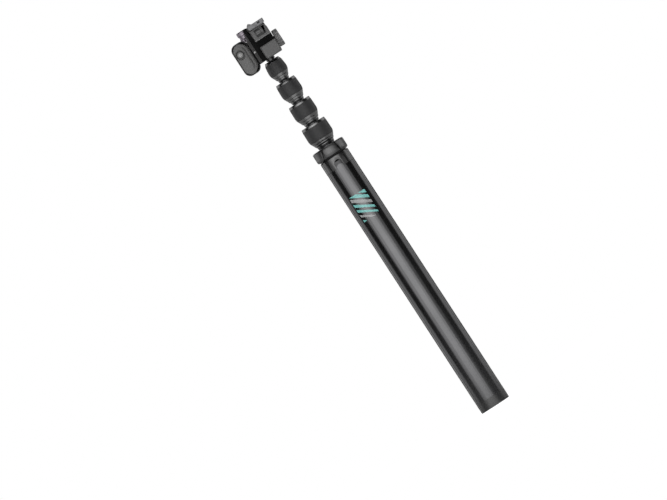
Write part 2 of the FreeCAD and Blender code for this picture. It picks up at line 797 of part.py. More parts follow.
def tilt_knob():
    """The tilt knob: a fluted disc on a round hub, screwed on the bolt's right end."""
    inner = knob_face
    outer = inner + knob_thickness
    hub_left = tang_half + free_gap + tilt_lug + free_gap
    disc = cross_rod(knob_r, inner, outer, 0, tilt_z)
    disc = disc.makeFillet(knob_edge, round_edges(disc))
    for flute in range(knob_flutes):
        angle = 2 * math.pi * flute / knob_flutes
        reach = knob_r + knob_flute_r - knob_flute_depth
        disc = disc.cut(cross_rod(knob_flute_r, inner - 1, outer + 1, reach * math.cos(angle),
                                  tilt_z + reach * math.sin(angle)))
    knob = joined([disc, cross_rod(knob_hub_r, hub_left, inner + 1, 0, tilt_z)])
    return knob.cut(cross_rod(tilt_bolt_r + running_fit, hub_left - 1, outer - knob_cover, 0, tilt_z))


def lower_jaw():
    """The fixed jaw: a rounded block with a low lip in front."""
    front = clamp_front - jaw_reach
    top = clamp_bottom + lower_jaw_height
    body = block(lower_jaw_left, lower_jaw_right, front, clamp_front, clamp_bottom, top)
    lip = block(lower_jaw_left, lower_jaw_right, front, front + jaw_lip, top - 1, top + lower_lip_rise)
    jaw = joined([body, lip])
    corners = edges_where(jaw, lambda e: is_along(e, V(0, 1, 0)) and centre_of(e).z < clamp_bottom + 0.01)
    jaw = jaw.makeFillet(lower_jaw_corner, corners)
    return jaw.makeFillet(jaw_edge, edges_where(jaw, lambda e: centre_of(e).y < front + 0.01))


def lower_pad():
    top = clamp_bottom + lower_jaw_height
    return block(lower_jaw_left + pad_margin, lower_jaw_right - pad_margin,
                 clamp_front - jaw_reach + jaw_lip + pad_inset, clamp_front - pad_inset,
                 top, top + pad_thickness)


def clamp_slider():
    """The middle slide of the clamp: a C-shaped channel between the frame and the upper jaw."""
    left, right, front, back = slider_sides()
    low = clamp_bottom + clamp_floor + free_gap
    high = clamp_top - 0.2
    outer = block(left, right, front, back, low, high)
    inner = block(left + slider_side, right - slider_side, front + slider_wall,
                  back - slider_lip_wall, low - 1, high + 1)
    mouth = block(left + slider_side + slider_lip, right - slider_side - slider_lip,
                  front + slider_wall, back + 1, low - 1, high + 1)
    return outer.cut(inner).cut(mouth)


def slider_sides():
    return (clamp_left + clamp_left_wall + free_gap, clamp_right - clamp_right_wall - free_gap,
            clamp_front + clamp_wall + free_gap, clamp_back - clamp_wall - free_gap)


def upper_jaw():
    """The moving jaw: a rounded block with a lip, a sunk window in front and its slide plate. A low
    fence on it stands behind the shoe."""
    left, right, slide_front, slide_back = slider_sides()
    front = clamp_front - jaw_reach
    bottom = upper_jaw_bottom
    top = bottom + upper_jaw_height
    rear = clamp_front - free_gap
    body = block(upper_jaw_left, upper_jaw_right, front, rear, bottom, top)
    lip = block(upper_jaw_left, upper_jaw_right, front, front + jaw_lip, bottom - upper_lip_drop, bottom + 1)
    jaw = joined([body, lip])
    picked = edges_where(jaw, lambda e: centre_of(e).y < front + 0.01)
    jaw = jaw.makeFillet(jaw_edge, picked)
    window_top = top - window_below_top
    window = block(window_left, window_right, front - 1, front + window_depth,
                   window_top - window_height, window_top)
    boss_left = window_left + window_boss_margin
    boss_top = window_top - window_boss_margin
    boss = block(boss_left, boss_left + window_boss, front + window_boss_sink, front + window_depth + 0.1,
                 boss_top - window_boss, boss_top)
    slant = window_right + slant_gap
    recess = prism([V(slant, front - 1, window_top), V(slant + slant_top_width, front - 1, window_top),
                    V(slant + slant_foot_width, front - 1, window_top - window_height),
                    V(slant, front - 1, window_top - window_height)], V(0, 1 + 2 * window_depth, 0))
    jaw = jaw.cut(window).cut(recess).fuse(boss)
    plate_front = slide_front + slider_wall + free_gap
    plate_back = slide_back - slider_lip_wall - free_gap
    plate_left = left + slider_side + free_gap
    plate_right = right - slider_side - free_gap
    plate = block(plate_left, plate_right, plate_front, plate_back,
                  clamp_bottom + clamp_floor + 2 * free_gap, top)
    fence_front = shoe_middle + shoe_width / 2.0 + free_gap
    fence_back = fence_front + fence_thickness
    bridge = block(upper_jaw_left, plate_right, rear - 1, fence_back, clamp_top + free_gap, top)
    fence = block(upper_jaw_left - fence_reach, plate_right, fence_front, fence_back,
                  top - 1, top + fence_height)
    return joined([jaw, plate, bridge, fence])


def upper_pad():
    return block(upper_jaw_left + pad_margin, upper_jaw_right - pad_margin,
                 clamp_front - jaw_reach + jaw_lip + pad_inset, clamp_front - free_gap - pad_inset,
                 upper_pad_bottom, upper_jaw_bottom)


def accessory_shoe():
    """The metal accessory shoe on the upper jaw: a rail with two lips, a notch and an end stop."""
    right = shoe_left + shoe_length
    front = shoe_middle - shoe_width / 2.0
    back = shoe_middle + shoe_width / 2.0
    top = shoe_floor + shoe_slot_height + shoe_lip_wall
    pedestal = block(shoe_left + shoe_pedestal_side, right - shoe_pedestal_side, front + shoe_pedestal_front,
                     back - shoe_pedestal_back, shoe_bottom, shoe_bottom + shoe_pedestal)
    rail = block(shoe_left, right, front, back, shoe_bottom + shoe_pedestal, top)
    slot = block(shoe_left - 1, right + 1, front + shoe_wall, back - shoe_wall,
                 shoe_floor, shoe_floor + shoe_slot_height)
    mouth = block(shoe_left - 1, right + 1, front + shoe_wall + shoe_lip, back - shoe_wall - shoe_lip,
                  shoe_floor, top + 1)
    rail = rail.cut(slot).cut(mouth)
    corners = edges_where(rail, lambda e: is_along(e, V(0, 0, 1)) and centre_of(e).x > right - 0.01
                          and (centre_of(e).y < front + 0.01 or centre_of(e).y > back - 0.01))
    rail = rail.makeFillet(shoe_corner, corners)
    notch = block(shoe_notch_left, shoe_notch_right, front - 1, front + shoe_wall + 0.5,
                  shoe_floor + 0.4, top + 1)
    rail = rail.cut(notch)
    near = shoe_left + shoe_stop_inset
    far = near + shoe_stop_length
    peak = top + shoe_stop_height
    peak_near = near + shoe_stop_peak
    profile = [(near, shoe_floor), (far, shoe_floor), (far, top), (peak_near + shoe_stop_flat, peak),
               (peak_near, peak), (near, top + 0.4)]
    stop = prism([V(x, shoe_middle - shoe_stop_width / 2.0, z) for x, z in profile], V(0, shoe_stop_width, 0))
    return joined([rail, pedestal, stop])


def lock_spindle():
    """The upright spindle at the clamp's left: a flanged metal knob, a rod, and a cam disc
    that bears on the remote's back."""
    knob_low = clamp_top + spindle_above_clamp
    knob_top = knob_low + spindle_knob_height
    knob = cylinder(spindle_knob_r, knob_low, knob_top, spindle_x, spindle_y)
    knob = knob.makeFillet(spindle_knob_edge, round_edges(knob))
    flange = cylinder(spindle_flange_r, knob_top - spindle_flange_height, knob_top, spindle_x, spindle_y)
    flange = flange.makeFillet(spindle_flange_edge, round_edges(flange))
    rod = cylinder(spindle_r, clamp_bottom + lower_ear_rise - 1.0, knob_low + 1, spindle_x, spindle_y)
    cam = cylinder(cam_r, knob_low - cam_height, knob_low + 1, spindle_x - cam_offset, spindle_y)
    cam = cam.makeFillet(cam_edge, round_edges(cam))
    return joined([knob, flange, rod, cam])


def remote_outline(inset, front, back):
    """The remote's rounded outline, drawn in by inset, as a plate between two depths."""
    left = remote_left + inset
    right = remote_right - inset
    low = remote_bottom + inset
    high = remote_bottom + remote_height - inset
    plate = block(left, right, front, back, low, high)
    corners = edges_where(plate, lambda e: is_along(e, V(0, 1, 0)))
    return plate.makeFillet(remote_corner - inset, corners)


def remote_case():
    """Both halves of the remote's case in one, hollow, with its sockets and button hole."""
    front = remote_front_y
    back = remote_back_y
    case = remote_outline(0, front, back)
    rims = edges_where(case, lambda e: min(abs(centre_of(e).y - front), abs(centre_of(e).y - back)) < 0.01)
    case = case.makeFillet(remote_edge, rims)
    case = case.cut(remote_outline(remote_side_wall, front + remote_wall, back - remote_wall))
    ring = depth_rod(button_ring_r, front - 1, front + button_ring_depth, button_x, button_z)
    ring = ring.cut(depth_rod(button_r + button_ring_gap, front - 2, front + 2, button_x, button_z))
    case = case.cut(ring)
    case = case.cut(depth_rod(button_r + button_fit, front - 1, front + remote_wall + 1, button_x, button_z))
    for rise in (lower_ear_rise, upper_ear_rise):
        middle = clamp_bottom + rise + ear_thickness / 2.0
        socket = block(remote_right - clip_reach - 0.2, remote_right + 1, clip_y - clip_half - free_gap,
                       clip_y + clip_half + free_gap, middle - clip_rise - free_gap,
                       middle + clip_rise + free_gap)
        case = case.cut(socket)
    return case


def remote_lid_space():
    """The room of the remote's front shell, inside the rim of the back shell."""
    return remote_outline(remote_rim, remote_front_y - 1, remote_back_y - remote_split)


def remote_front():
    """The front shell: a lid with a skirt that drops into the back shell."""
    return remote_case().common(remote_lid_space())


def remote_back():
    """The back shell: a tub whose rounded rim shows all round the lid."""
    return remote_case().cut(remote_lid_space())


def remote_button():
    """The round shutter button, with a flange that keeps it in the case."""
    front = remote_front_y - button_proud
    inside = remote_front_y + remote_wall
    flange_back = inside + 0.1 + button_flange_height
    cap = depth_rod(button_r, front, flange_back, button_x, button_z)
    rim = edges_where(cap, lambda e: isinstance(e.Curve, Part.Circle) and centre_of(e).y < front + 0.01)
    cap = cap.makeFillet(button_edge, rim)
    flange = depth_rod(button_r + button_flange, inside + 0.1, flange_back, button_x, button_z)
    return joined([cap, flange])


def coin_cell():
    """The button cell inside the remote's back half."""
    back = remote_back_y - remote_wall
    middle_x = (remote_left + remote_right) / 2.0
    return depth_rod(cell_r, back - cell_thickness, back, middle_x, remote_bottom + remote_height / 2.0)


def build():
    for number in range(1, leg_count + 1):
        save("leg_shell_%d" % number, around(leg_shell(), number))
        save("leg_cap_%d" % number, around(leg_cap(), number))
        save("foot_cap_%d" % number, around(foot_cap(), number))
        save("strut_bracket_%d" % number, around(strut_bracket(), number))
        save("strut_pin_%d" % number, around(strut_pin(strut_top_z), number))
        save("strut_%d" % number, around(strut(), number))
    save("hub_collar", hub_collar())
    save("leg_hinge_pins", Part.makeCompound([around(hinge_pin(), n) for n in (1, 2, 3)]))
    save("spreader_ring", spreader_ring())
    save("ring_pins", Part.makeCompound([around(strut_pin(ring_z), n) for n in (1, 2, 3)]))
    for n in range(1, 6):
        save("tube_%d" % n, pole_tube(n))
    save("tube_plug_5", end_plug())
    for n in range(1, 5):
        save("tube_bush_%d" % n, guide_bush(n))
        save("lock_sleeve_%d" % n, lock_sleeve(n))
        save("lock_nut_%d" % n, lock_nut(n))
        save("lock_grip_%d" % n, lock_grip(n))
    save("neck_plug", neck_plug())
    save("swivel_base", swivel_base())
    save("clamp_frame", clamp_frame())
    save("tilt_bolt", tilt_bolt())
    save("tilt_knob", tilt_knob())
    save("lower_jaw", lower_jaw())
    save("lower_pad", lower_pad())
    save("clamp_slider", clamp_slider())
    save("upper_jaw", upper_jaw())
    save("upper_pad", upper_pad())
    save("accessory_shoe", accessory_shoe())
    save("lock_spindle", lock_spindle())
    save("remote_front", remote_front())
    save("remote_back", remote_back())
    save("remote_button", remote_button())
    save("coin_cell", coin_cell())


build()
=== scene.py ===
# %% [markdown]
# # A folding tripod with a telescoping pole
#
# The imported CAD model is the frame: it gives every body, every joint and every size.
# This lesson dresses it. Each cell takes one piece or one finish, says what it is on the
# real tripod, and makes it. Lengths are in metres, Z is up, and -Y is the front.

# %% Load the frame
import json
import math

import bmesh
import bpy
from mathutils import Matrix, Vector

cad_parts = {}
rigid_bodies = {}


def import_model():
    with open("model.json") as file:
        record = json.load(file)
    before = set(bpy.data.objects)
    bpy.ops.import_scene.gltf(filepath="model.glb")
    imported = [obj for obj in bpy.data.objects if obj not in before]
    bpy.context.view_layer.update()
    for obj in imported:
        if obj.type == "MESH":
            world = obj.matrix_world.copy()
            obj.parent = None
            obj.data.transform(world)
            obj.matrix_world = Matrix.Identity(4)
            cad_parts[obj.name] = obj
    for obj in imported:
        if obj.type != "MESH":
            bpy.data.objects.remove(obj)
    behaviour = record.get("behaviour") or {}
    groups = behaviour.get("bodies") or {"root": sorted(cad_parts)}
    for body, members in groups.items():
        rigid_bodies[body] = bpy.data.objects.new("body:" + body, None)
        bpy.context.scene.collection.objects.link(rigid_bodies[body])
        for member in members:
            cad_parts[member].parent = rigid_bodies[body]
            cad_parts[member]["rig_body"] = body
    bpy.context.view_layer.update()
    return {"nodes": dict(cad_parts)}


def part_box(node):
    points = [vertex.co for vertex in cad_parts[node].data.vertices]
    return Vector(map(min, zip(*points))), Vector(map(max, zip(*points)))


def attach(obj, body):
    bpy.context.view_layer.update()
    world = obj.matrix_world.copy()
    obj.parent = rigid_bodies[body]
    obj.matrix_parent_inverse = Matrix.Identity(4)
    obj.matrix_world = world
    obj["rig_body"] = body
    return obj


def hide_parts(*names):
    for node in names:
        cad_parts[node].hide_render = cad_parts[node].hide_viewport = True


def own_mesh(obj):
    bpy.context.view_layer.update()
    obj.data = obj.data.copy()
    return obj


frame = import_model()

MM = 0.001

# %% [markdown]
# ## The camera
#
# The photograph looks straight at the front of the folded tripod from far away, and the
# camera is rolled, so the pole leans to the left. A very long lens at sixteen metres gives
# the same flat look, in which the jaws, nearer to the camera than the pole, look no bigger.
# The three columns of the matrix are the camera's right, up and back.

# %% Place the camera
ROLL = math.radians(33.02)
VIEW_WIDTH = 0.7337
DISTANCE = 16.0
VIEW_CENTRE = Vector((-0.0565, 0.0, 0.2404))
SENSOR_WIDTH = 36.0

right = Vector((math.cos(ROLL), 0, -math.sin(ROLL)))
up = Vector((math.sin(ROLL), 0, math.cos(ROLL)))
back = right.cross(up)
turn = Matrix((right, up, back)).transposed().to_4x4()
camera_data = bpy.data.cameras.new("camera")
camera_data.sensor_width = SENSOR_WIDTH
camera_data.lens = SENSOR_WIDTH * DISTANCE / VIEW_WIDTH
camera = bpy.data.objects.new("camera", camera_data)
camera.matrix_world = Matrix.Translation(VIEW_CENTRE + back * DISTANCE) @ turn
bpy.context.scene.collection.objects.link(camera)
bpy.context.scene.camera = camera
print("lens:", round(camera_data.lens, 1), "mm")

# %% [markdown]
# ## Sums with sockets
#
# A material is a graph of nodes, and sums in it are hard to read when each needs its own
# lines. This class wraps one socket, so that `1 - mask` or `height * 0.3` adds the Math
# node by itself. Its `add` method makes any other node: its settings first, then what its
# sockets hold or are joined to. `axes` splits a place into its three numbers.

# %% A socket that Python can do sums with
class Wire:
    def __init__(self, tree, socket=None):
        self.tree = tree
        self.socket = socket

    def add(self, kind, settings=None, inputs=None, output=0):
        node = self.tree.nodes.new(kind)
        for name, value in (settings or {}).items():
            setattr(node, name, value)
        for name, value in (inputs or {}).items():
            self.join(value, node.inputs[name])
        return Wire(self.tree, node.outputs[output])

    def join(self, value, socket):
        if isinstance(value, Wire):
            self.tree.links.new(value.socket, socket)
        else:
            socket.default_value = value

    def sum(self, operation, first, second=0.0):
        return self.add("ShaderNodeMath", {"operation": operation}, {0: first, 1: second})

    def __add__(self, other):
        return self.sum("ADD", self, other)

    def __sub__(self, other):
        return self.sum("SUBTRACT", self, other)

    def __rsub__(self, other):
        return self.sum("SUBTRACT", other, self)

    def __mul__(self, other):
        return self.sum("MULTIPLY", self, other)

    def __truediv__(self, other):
        return self.sum("DIVIDE", self, other)

    def __gt__(self, other):
        return self.sum("GREATER_THAN", self, other)

    def __lt__(self, other):
        return self.sum("LESS_THAN", self, other)

    def __mod__(self, other):
        return self.sum("FLOORED_MODULO", self, other)

    def __abs__(self):
        return self.sum("ABSOLUTE", self)

    def axes(self):
        """The X, Y and Z of this place."""
        split = self.add("ShaderNodeSeparateXYZ", inputs={0: self}).socket.node
        return [Wire(self.tree, output) for output in split.outputs]

    def blend(self, low, high):
        """The colour or number low where this is 0, and high where it is 1."""
        if isinstance(low, (int, float)):
            return self * (high - low) + low
        return self.add("ShaderNodeMix", {"data_type": "RGBA"}, {0: self, 6: low, 7: high}, 2)

    def step(self, start, end):
        """0 below start, 1 above end, and a smooth rise between them."""
        kind = {"interpolation_type": "SMOOTHSTEP"}
        span = {"Value": self, "From Min": start, "From Max": end}
        return self.add("ShaderNodeMapRange", kind, span)


# %% [markdown]
# ## The studio
#
# The tripod was photographed as a cut-out on white. A white world seen only by the camera,
# by gloss and by glass gives that background without lighting anything. Gloss sees the
# white only straight behind the tripod, where a real backdrop would be, and a dim room
# elsewhere, because black tubes look black only when most of the room they mirror is dark.

# %% The world
world = bpy.data.worlds.new("studio")
world.use_nodes = True
bpy.context.scene.world = world
bpy.context.scene.view_settings.view_transform = "Standard"

ROOM_LIGHT = 0.13
ROOM_IN_GLOSS = 0.02
BACKDROP_IN_GLOSS = 1.0
BACKDROP_EDGE = (0.86, 0.98)
sky = Wire(world.node_tree)
camera_ray = sky.add("ShaderNodeLightPath", output="Is Camera Ray")
glossy_ray = sky.add("ShaderNodeLightPath", output="Is Glossy Ray")
glass_ray = sky.add("ShaderNodeLightPath", output="Is Transmission Ray")
direction = sky.add("ShaderNodeTexCoord", output="Generated")
behind = direction.axes()[1].step(*BACKDROP_EDGE)
in_gloss = behind * (BACKDROP_IN_GLOSS - ROOM_IN_GLOSS) + ROOM_IN_GLOSS
shown = camera_ray + glass_ray
strength = shown + (1 - shown) * glossy_ray.blend(ROOM_LIGHT, in_gloss)
backdrop = world.node_tree.nodes["Background"]
backdrop.inputs["Color"].default_value = (1, 1, 1, 1)
sky.join(strength, backdrop.inputs["Strength"])
print("room light:", ROOM_LIGHT, "backdrop in gloss:", BACKDROP_IN_GLOSS)

# %% [markdown]
# ### A white floor that keeps a shadow
#
# A lit white floor never renders quite white, and a glowing one has no shadow. Added
# together they do both: the camera sees the lit floor plus a steady glow, which is white
# where the light reaches and a soft grey where the tripod shades it. Further out the glow
# alone takes over, so the floor ends in the backdrop with no line. Gloss sees the glow
# too, in a fan in front of the tripod, and that puts the pale spot on each lock's cone.


# %% The floor
FLOOR_RADIUS = 12.0
FLOOR_DROP = 0.0002
FLOOR_GLOW = 0.8
FLOOR_FAN = math.radians(-6)
FAN_EDGE = (0.7, 0.93)
SHADOW_REACH = (0.1, 0.45)


def floor_finish():
    material = bpy.data.materials.new("floor")
    material.use_nodes = True
    tree = material.node_tree
    tree.nodes.clear()
    start = Wire(tree)
    place = start.add("ShaderNodeTexCoord", output="Object")
    distance = start.add("ShaderNodeVectorMath", {"operation": "LENGTH"}, {0: place}, "Value")
    camera_ray = start.add("ShaderNodeLightPath", output="Is Camera Ray")
    glossy_ray = start.add("ShaderNodeLightPath", output="Is Glossy Ray")
    ahead = start.add("ShaderNodeVectorMath", {"operation": "NORMALIZE"}, {0: place})
    facing = {0: ahead, 1: (math.sin(FLOOR_FAN), -math.cos(FLOOR_FAN), 0)}
    ahead_share = start.add("ShaderNodeVectorMath", {"operation": "DOT_PRODUCT"}, facing, "Value")
    fan = ahead_share.step(*FAN_EDGE)
    matt = start.add("ShaderNodeBsdfDiffuse", inputs={"Color": (0.9, 0.9, 0.9, 1)})
    white = start.add("ShaderNodeEmission", inputs={"Color": (1, 1, 1, 1), "Strength": 1.0})
    no_glow = start.add("ShaderNodeEmission", inputs={"Color": (0, 0, 0, 1), "Strength": 0.0})
    glow = start.add("ShaderNodeEmission", inputs={"Color": (1, 1, 1, 1), "Strength": FLOOR_GLOW})
    glowing = camera_ray + glossy_ray * fan
    seen_glow = start.add("ShaderNodeMixShader", inputs={0: glowing, 1: no_glow, 2: glow})
    lit = start.add("ShaderNodeAddShader", inputs={0: matt, 1: seen_glow})
    far = distance.step(*SHADOW_REACH) * camera_ray
    mixed = start.add("ShaderNodeMixShader", inputs={0: far, 1: lit, 2: white})
    out = tree.nodes.new("ShaderNodeOutputMaterial")
    start.join(mixed, out.inputs["Surface"])
    return material


floor_mesh = bpy.data.meshes.new("floor")
shape = bmesh.new()
bmesh.ops.create_circle(shape, cap_ends=True, segments=96, radius=FLOOR_RADIUS)
shape.to_mesh(floor_mesh)
shape.free()
floor_mesh.transform(Matrix.Translation((0, 0, -FLOOR_DROP)))
floor_mesh.materials.append(floor_finish())
floor = bpy.data.objects.new("floor", floor_mesh)
bpy.context.scene.collection.objects.link(floor)
print("floor radius:", FLOOR_RADIUS)

# %% [markdown]
# ## Soft light
#
# A round black tube is a mirror that squeezes the whole room into upright stripes. The
# photograph shows a broad pale stripe just left of the middle, a black one each side of
# it, and a fainter pale one near each edge. A stripe at a given place on the tube mirrors
# what stands at twice that angle, which gives a wide softbox by the camera and two tall
# panels a little behind the tripod. The broad stripe fades at its sides, so the front box
# is three boxes one behind another, each wider than the last.


# %% Softboxes
LIGHT_TARGET = Vector((0, 0, 0.25))


def softbox(name, azimuth, distance, height, size, glow):
    """A flat lamp round the tripod, of a given glow. Azimuth 0 is the camera's side."""
    data = bpy.data.lights.new(name, "AREA")
    data.shape = "RECTANGLE"
    data.size, data.size_y = size
    data.energy = glow * math.pi * size[0] * size[1]
    lamp = bpy.data.objects.new(name, data)
    angle = math.radians(azimuth)
    place = Vector((math.sin(angle) * distance, -math.cos(angle) * distance, height))
    facing = (place - LIGHT_TARGET).to_track_quat("Z", "Y").to_matrix().to_4x4()
    lamp.matrix_world = Matrix.Translation(place) @ facing
    bpy.context.scene.collection.objects.link(lamp)


LAMPS = (("front_core", -8, 2.1, 0.5, (1.4, 1.7), 0.8),
         ("front_box", -8, 2.2, 0.5, (2.9, 1.7), 0.87),
         ("front_wide", -8, 2.3, 0.5, (4.9, 1.7), 0.83),
         ("left_panel", -116.5, 1.6, 0.5, (1.53, 2.0), 1.0),
         ("right_panel", 112.5, 1.6, 0.5, (1.42, 2.0), 1.0),
         ("top_box", 20, 0.6, 2.2, (1.4, 1.4), 1.05),
         ("back_box", 180, 2.4, 0.9, (1.4, 1.6), 1.0))
for lamp in LAMPS:
    softbox(*lamp)
print("lamps:", len(LAMPS))

# %% [markdown]
# ## Finishes
#
# Every finish starts from the Principled shader. What never changes over the surface is
# set on its own socket. What changes, such as die lines, moulded grain or the sheen of
# handled rubber, comes from noise on Object coordinates, in real sizes, and feeds only
# the colour, the roughness and the bump.


# %% Start a finish
def finish(name, colour, roughness, metallic=0.0, ior=1.5):
    material = bpy.data.materials.new(name)
    material.use_nodes = True
    skin = material.node_tree.nodes["Principled BSDF"]
    skin.inputs["Base Color"].default_value = (*colour, 1)
    skin.inputs["Roughness"].default_value = roughness
    skin.inputs["Metallic"].default_value = metallic
    skin.inputs["IOR"].default_value = ior
    material.diffuse_color = (*colour, 1)
    return material, skin, Wire(material.node_tree)


def place_of(start):
    """Object coordinates, which are the frame's own metres."""
    return start.add("ShaderNodeTexCoord", output="Object")


def grain(start, size, stretch=(1, 1, 1), detail=3.0):
    """Noise from 0 to 1 whose lumps are about size metres across."""
    spot = start.add("ShaderNodeMapping", inputs={"Vector": place_of(start), "Scale": stretch})
    inputs = {"Vector": spot, "Scale": 1.0 / size, "Detail": detail}
    return start.add("ShaderNodeTexNoise", inputs=inputs)


def roughen(start, skin, height, depth):
    """Bump from a height of 0 to 1, depth metres deep."""
    inputs = {"Height": height, "Strength": 1.0, "Distance": depth}
    start.join(start.add("ShaderNodeBump", inputs=inputs), skin.inputs["Normal"])


def uneven(mask, colour, change):
    """The colour where the mask is 0, and that colour times change where it is 1."""
    return mask.blend((*colour, 1), (*(part * change for part in colour), 1))


# %% [markdown]
# ### Black anodised aluminium
#
# The legs and the pole are drawn through a die, which leaves faint lines along them, and
# then dyed black. What is left is a metal that mirrors only a tenth of the light. The
# noise is stretched along Z until it reads as lines, and a larger, softer noise makes some
# stretches a little duller, where hands have held them.

# %% Anodised aluminium
BLACK = (0.092, 0.092, 0.094)
HANDLED_BLACK = (0.088, 0.088, 0.09)


def drawn_metal(start, skin, duller=0.0):
    """Fine lines along Z and handled patches. Returns the dyed colour."""
    lines = grain(start, 0.0012, (1, 1, 0.01))
    handled = grain(start, 0.05, detail=2.0).step(0.35, 0.75)
    start.join(lines * 0.04 + handled * 0.04 + 0.15 + duller, skin.inputs["Roughness"])
    roughen(start, skin, lines, 0.000012)
    return handled.blend((*BLACK, 1), (*HANDLED_BLACK, 1))


anodised, skin, start = finish("anodised_black", BLACK, 0.2, metallic=1.0)
start.join(drawn_metal(start, skin), skin.inputs["Base Color"])
print("finish:", anodised.name)

# %% [markdown]
# ### The arched tip of a leg
#
# The extrusion's tongue ends in an arch, and the moulding leaves a matt rim round it. At its
# very top a small black patch is painted shadow, where the tongue meets the cap. The rim
# follows from one number, the height above a flat parabola across the leg. The joint with the
# cap is a fine matt line on the same idea.
# The mask turns with the leg, so one function serves all three.

# %% Legs
LEG_TURN = 2 * math.pi / 3
CAP_SKIRT = 14 * MM
SHELL_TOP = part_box("leg_cap_1")[1].z - CAP_SKIRT
ARCH_TOP = SHELL_TOP + 3.4 * MM
ARCH_BEND = 120.0
ARCH_SOFT = 0.4 * MM
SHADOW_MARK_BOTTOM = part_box("leg_shell_1")[1].z - 1.5 * MM
SHADOW_MARK_HALF_WIDTH = 2.6 * MM
JOINT_HALF = 0.5 * MM
RIM_JOINT_AND_SHADOW_BLACK = (0.008, 0.008, 0.008, 1)


def leg_place(start, number):
    """Object coordinates turned so that this leg is at the front."""
    turn = {"Vector": place_of(start), "Rotation": (0, 0, -LEG_TURN * (number - 1))}
    return start.add("ShaderNodeMapping", inputs=turn)


def leg_finish(name, number):
    """Drawn metal with the rim, the joint and the painted shadow at the tongue's top. Returns the
    colour unjoined.
    """
    material, skin, start = finish(name, BLACK, 0.2, metallic=1.0)
    across, _, height = leg_place(start, number).axes()
    above = height + across * across * ARCH_BEND
    over_arch = above.step(ARCH_TOP - ARCH_SOFT, ARCH_TOP + ARCH_SOFT)
    rim = over_arch * (height > SHELL_TOP)
    joint = over_arch * (1 - abs(height - SHELL_TOP).step(JOINT_HALF * 0.4, JOINT_HALF))
    # painted shadow: the tongue's top is painted black where the tongue meets the cap
    tongue_shadow = (height > SHADOW_MARK_BOTTOM) * (abs(across) < SHADOW_MARK_HALF_WIDTH)
    dye = drawn_metal(start, skin, rim * 0.12 + joint * 0.4 + tongue_shadow * 0.5)
    dark = rim * 0.5 + joint * 0.8 + tongue_shadow
    shade = dark.sum("MINIMUM", dark, 1.0)
    return material, skin, start, shade.blend(dye, RIM_JOINT_AND_SHADOW_BLACK)


print("arch top:", round(ARCH_TOP / MM, 1), "mm")

# %% [markdown]
# ### The printed band on the front leg
#
# The front leg carries a short print in teal and grey near its top. Here it is a plain
# row of slanted bars that get narrower downwards, every third one grey. A sum of height and
# place across the leg counts the bars, and comparisons keep the print inside its patch.

# %% Printed leg
TEAL = (0.22, 0.58, 0.55, 1)
PALE_GREY = (0.38, 0.39, 0.39, 1)
BAND_BOTTOM, BAND_TOP = 247.5 * MM, 278.5 * MM
BAND_HALF_WIDTH = 10.5 * MM
BAND_CENTRE = -2 * MM
LEG_INSIDE = -13.5 * MM
BAR_PITCH = 6.2 * MM
BAR_SLANT = 0.55


def printed_leg(name):
    material, skin, start, dye = leg_finish(name, 1)
    across, depth, height = place_of(start).axes()
    count = (height - BAND_BOTTOM + across * BAR_SLANT) / BAR_PITCH
    fill = (height - BAND_BOTTOM) / (BAND_TOP - BAND_BOTTOM)
    bar = (count % 1.0 < fill * 0.35 + 0.35) * (depth < LEG_INSIDE)
    tall = (height > BAND_BOTTOM) * (height < BAND_TOP)
    wide = abs(across - BAND_CENTRE) < BAND_HALF_WIDTH
    tint = (count % 3.0 < 1.0).blend(TEAL, PALE_GREY)
    ink = bar * tall * wide
    start.join(ink.blend(dye, tint), skin.inputs["Base Color"])
    start.join(1 - ink, skin.inputs["Metallic"])
    return material


def plain_leg(name, number):
    material, skin, start, dye = leg_finish(name, number)
    start.join(dye, skin.inputs["Base Color"])
    return material


leg_skins = [printed_leg("leg_1_printed"), plain_leg("leg_2_plain", 2), plain_leg("leg_3_plain", 3)]
print("print:", round((BAND_TOP - BAND_BOTTOM) / MM, 1), "mm tall")

# %% [markdown]
# ### Moulded plastics
#
# The hub, caps and head are moulded with a fine spark-eroded grain, which only shows as a
# broken highlight. The lock collars are polished instead, with hair scratches from use,
# and the clamp's inside is as matt as the mould can make it.


# %% Satin and gloss plastic
def satin(name, colour, roughness=0.42, depth=0.000006, ior=1.5):
    material, skin, start = finish(name, colour, roughness, ior=ior)
    pits = grain(start, 0.0004, detail=2.0)
    patches = grain(start, 0.012)
    start.join(patches * 0.1 + (roughness - 0.05), skin.inputs["Roughness"])
    start.join(uneven(patches.step(0.4, 0.7), colour, 1.12), skin.inputs["Base Color"])
    roughen(start, skin, pits, depth)
    return material


def gloss(name, colour, roughness=0.14, ior=1.5):
    material, skin, start = finish(name, colour, roughness, ior=ior)
    hairs = grain(start, 0.002, (1, 0.06, 0.5), detail=6.0).step(0.62, 0.7)
    smears = grain(start, 0.01).step(0.4, 0.8)
    start.join(hairs * 0.1 + smears * 0.06 + roughness, skin.inputs["Roughness"])
    start.join(uneven(smears, colour, 1.3), skin.inputs["Base Color"])
    return material


cap_black = satin("cap_black", (0.008, 0.008, 0.0082), 0.2, ior=1.8)
foot_black = satin("foot_black", (0.012, 0.012, 0.0122), 0.3, 0.00001, ior=1.66)
satin_black = satin("satin_black", (0.015, 0.015, 0.0154))
matt_black = satin("matt_black", (0.004, 0.004, 0.0041), 0.6, 0.00001, ior=1.16)
satin_grey = satin("satin_grey", (0.07, 0.069, 0.069), 0.45)
knob_grey = satin("knob_grey", (0.16, 0.159, 0.159), 0.45)
gloss_black = gloss("gloss_black", (0.008, 0.008, 0.0084))
polished_black = gloss("polished_black", (0.008, 0.008, 0.0084), 0.2, ior=2.25)
nylon = satin("nylon", (0.7, 0.69, 0.65), 0.5)
print("plastics:", cap_black.name, matt_black.name, satin_grey.name, gloss_black.name)

# %% [markdown]
# ### Rubber and metal
#
# The grips are a soft matt rubber that goes a little grey where it is dusty. The spindle's
# knob is bead-blasted and anodised in a faint lilac, and the shoe in grey. The pins are
# turned steel, and the struts are painted.


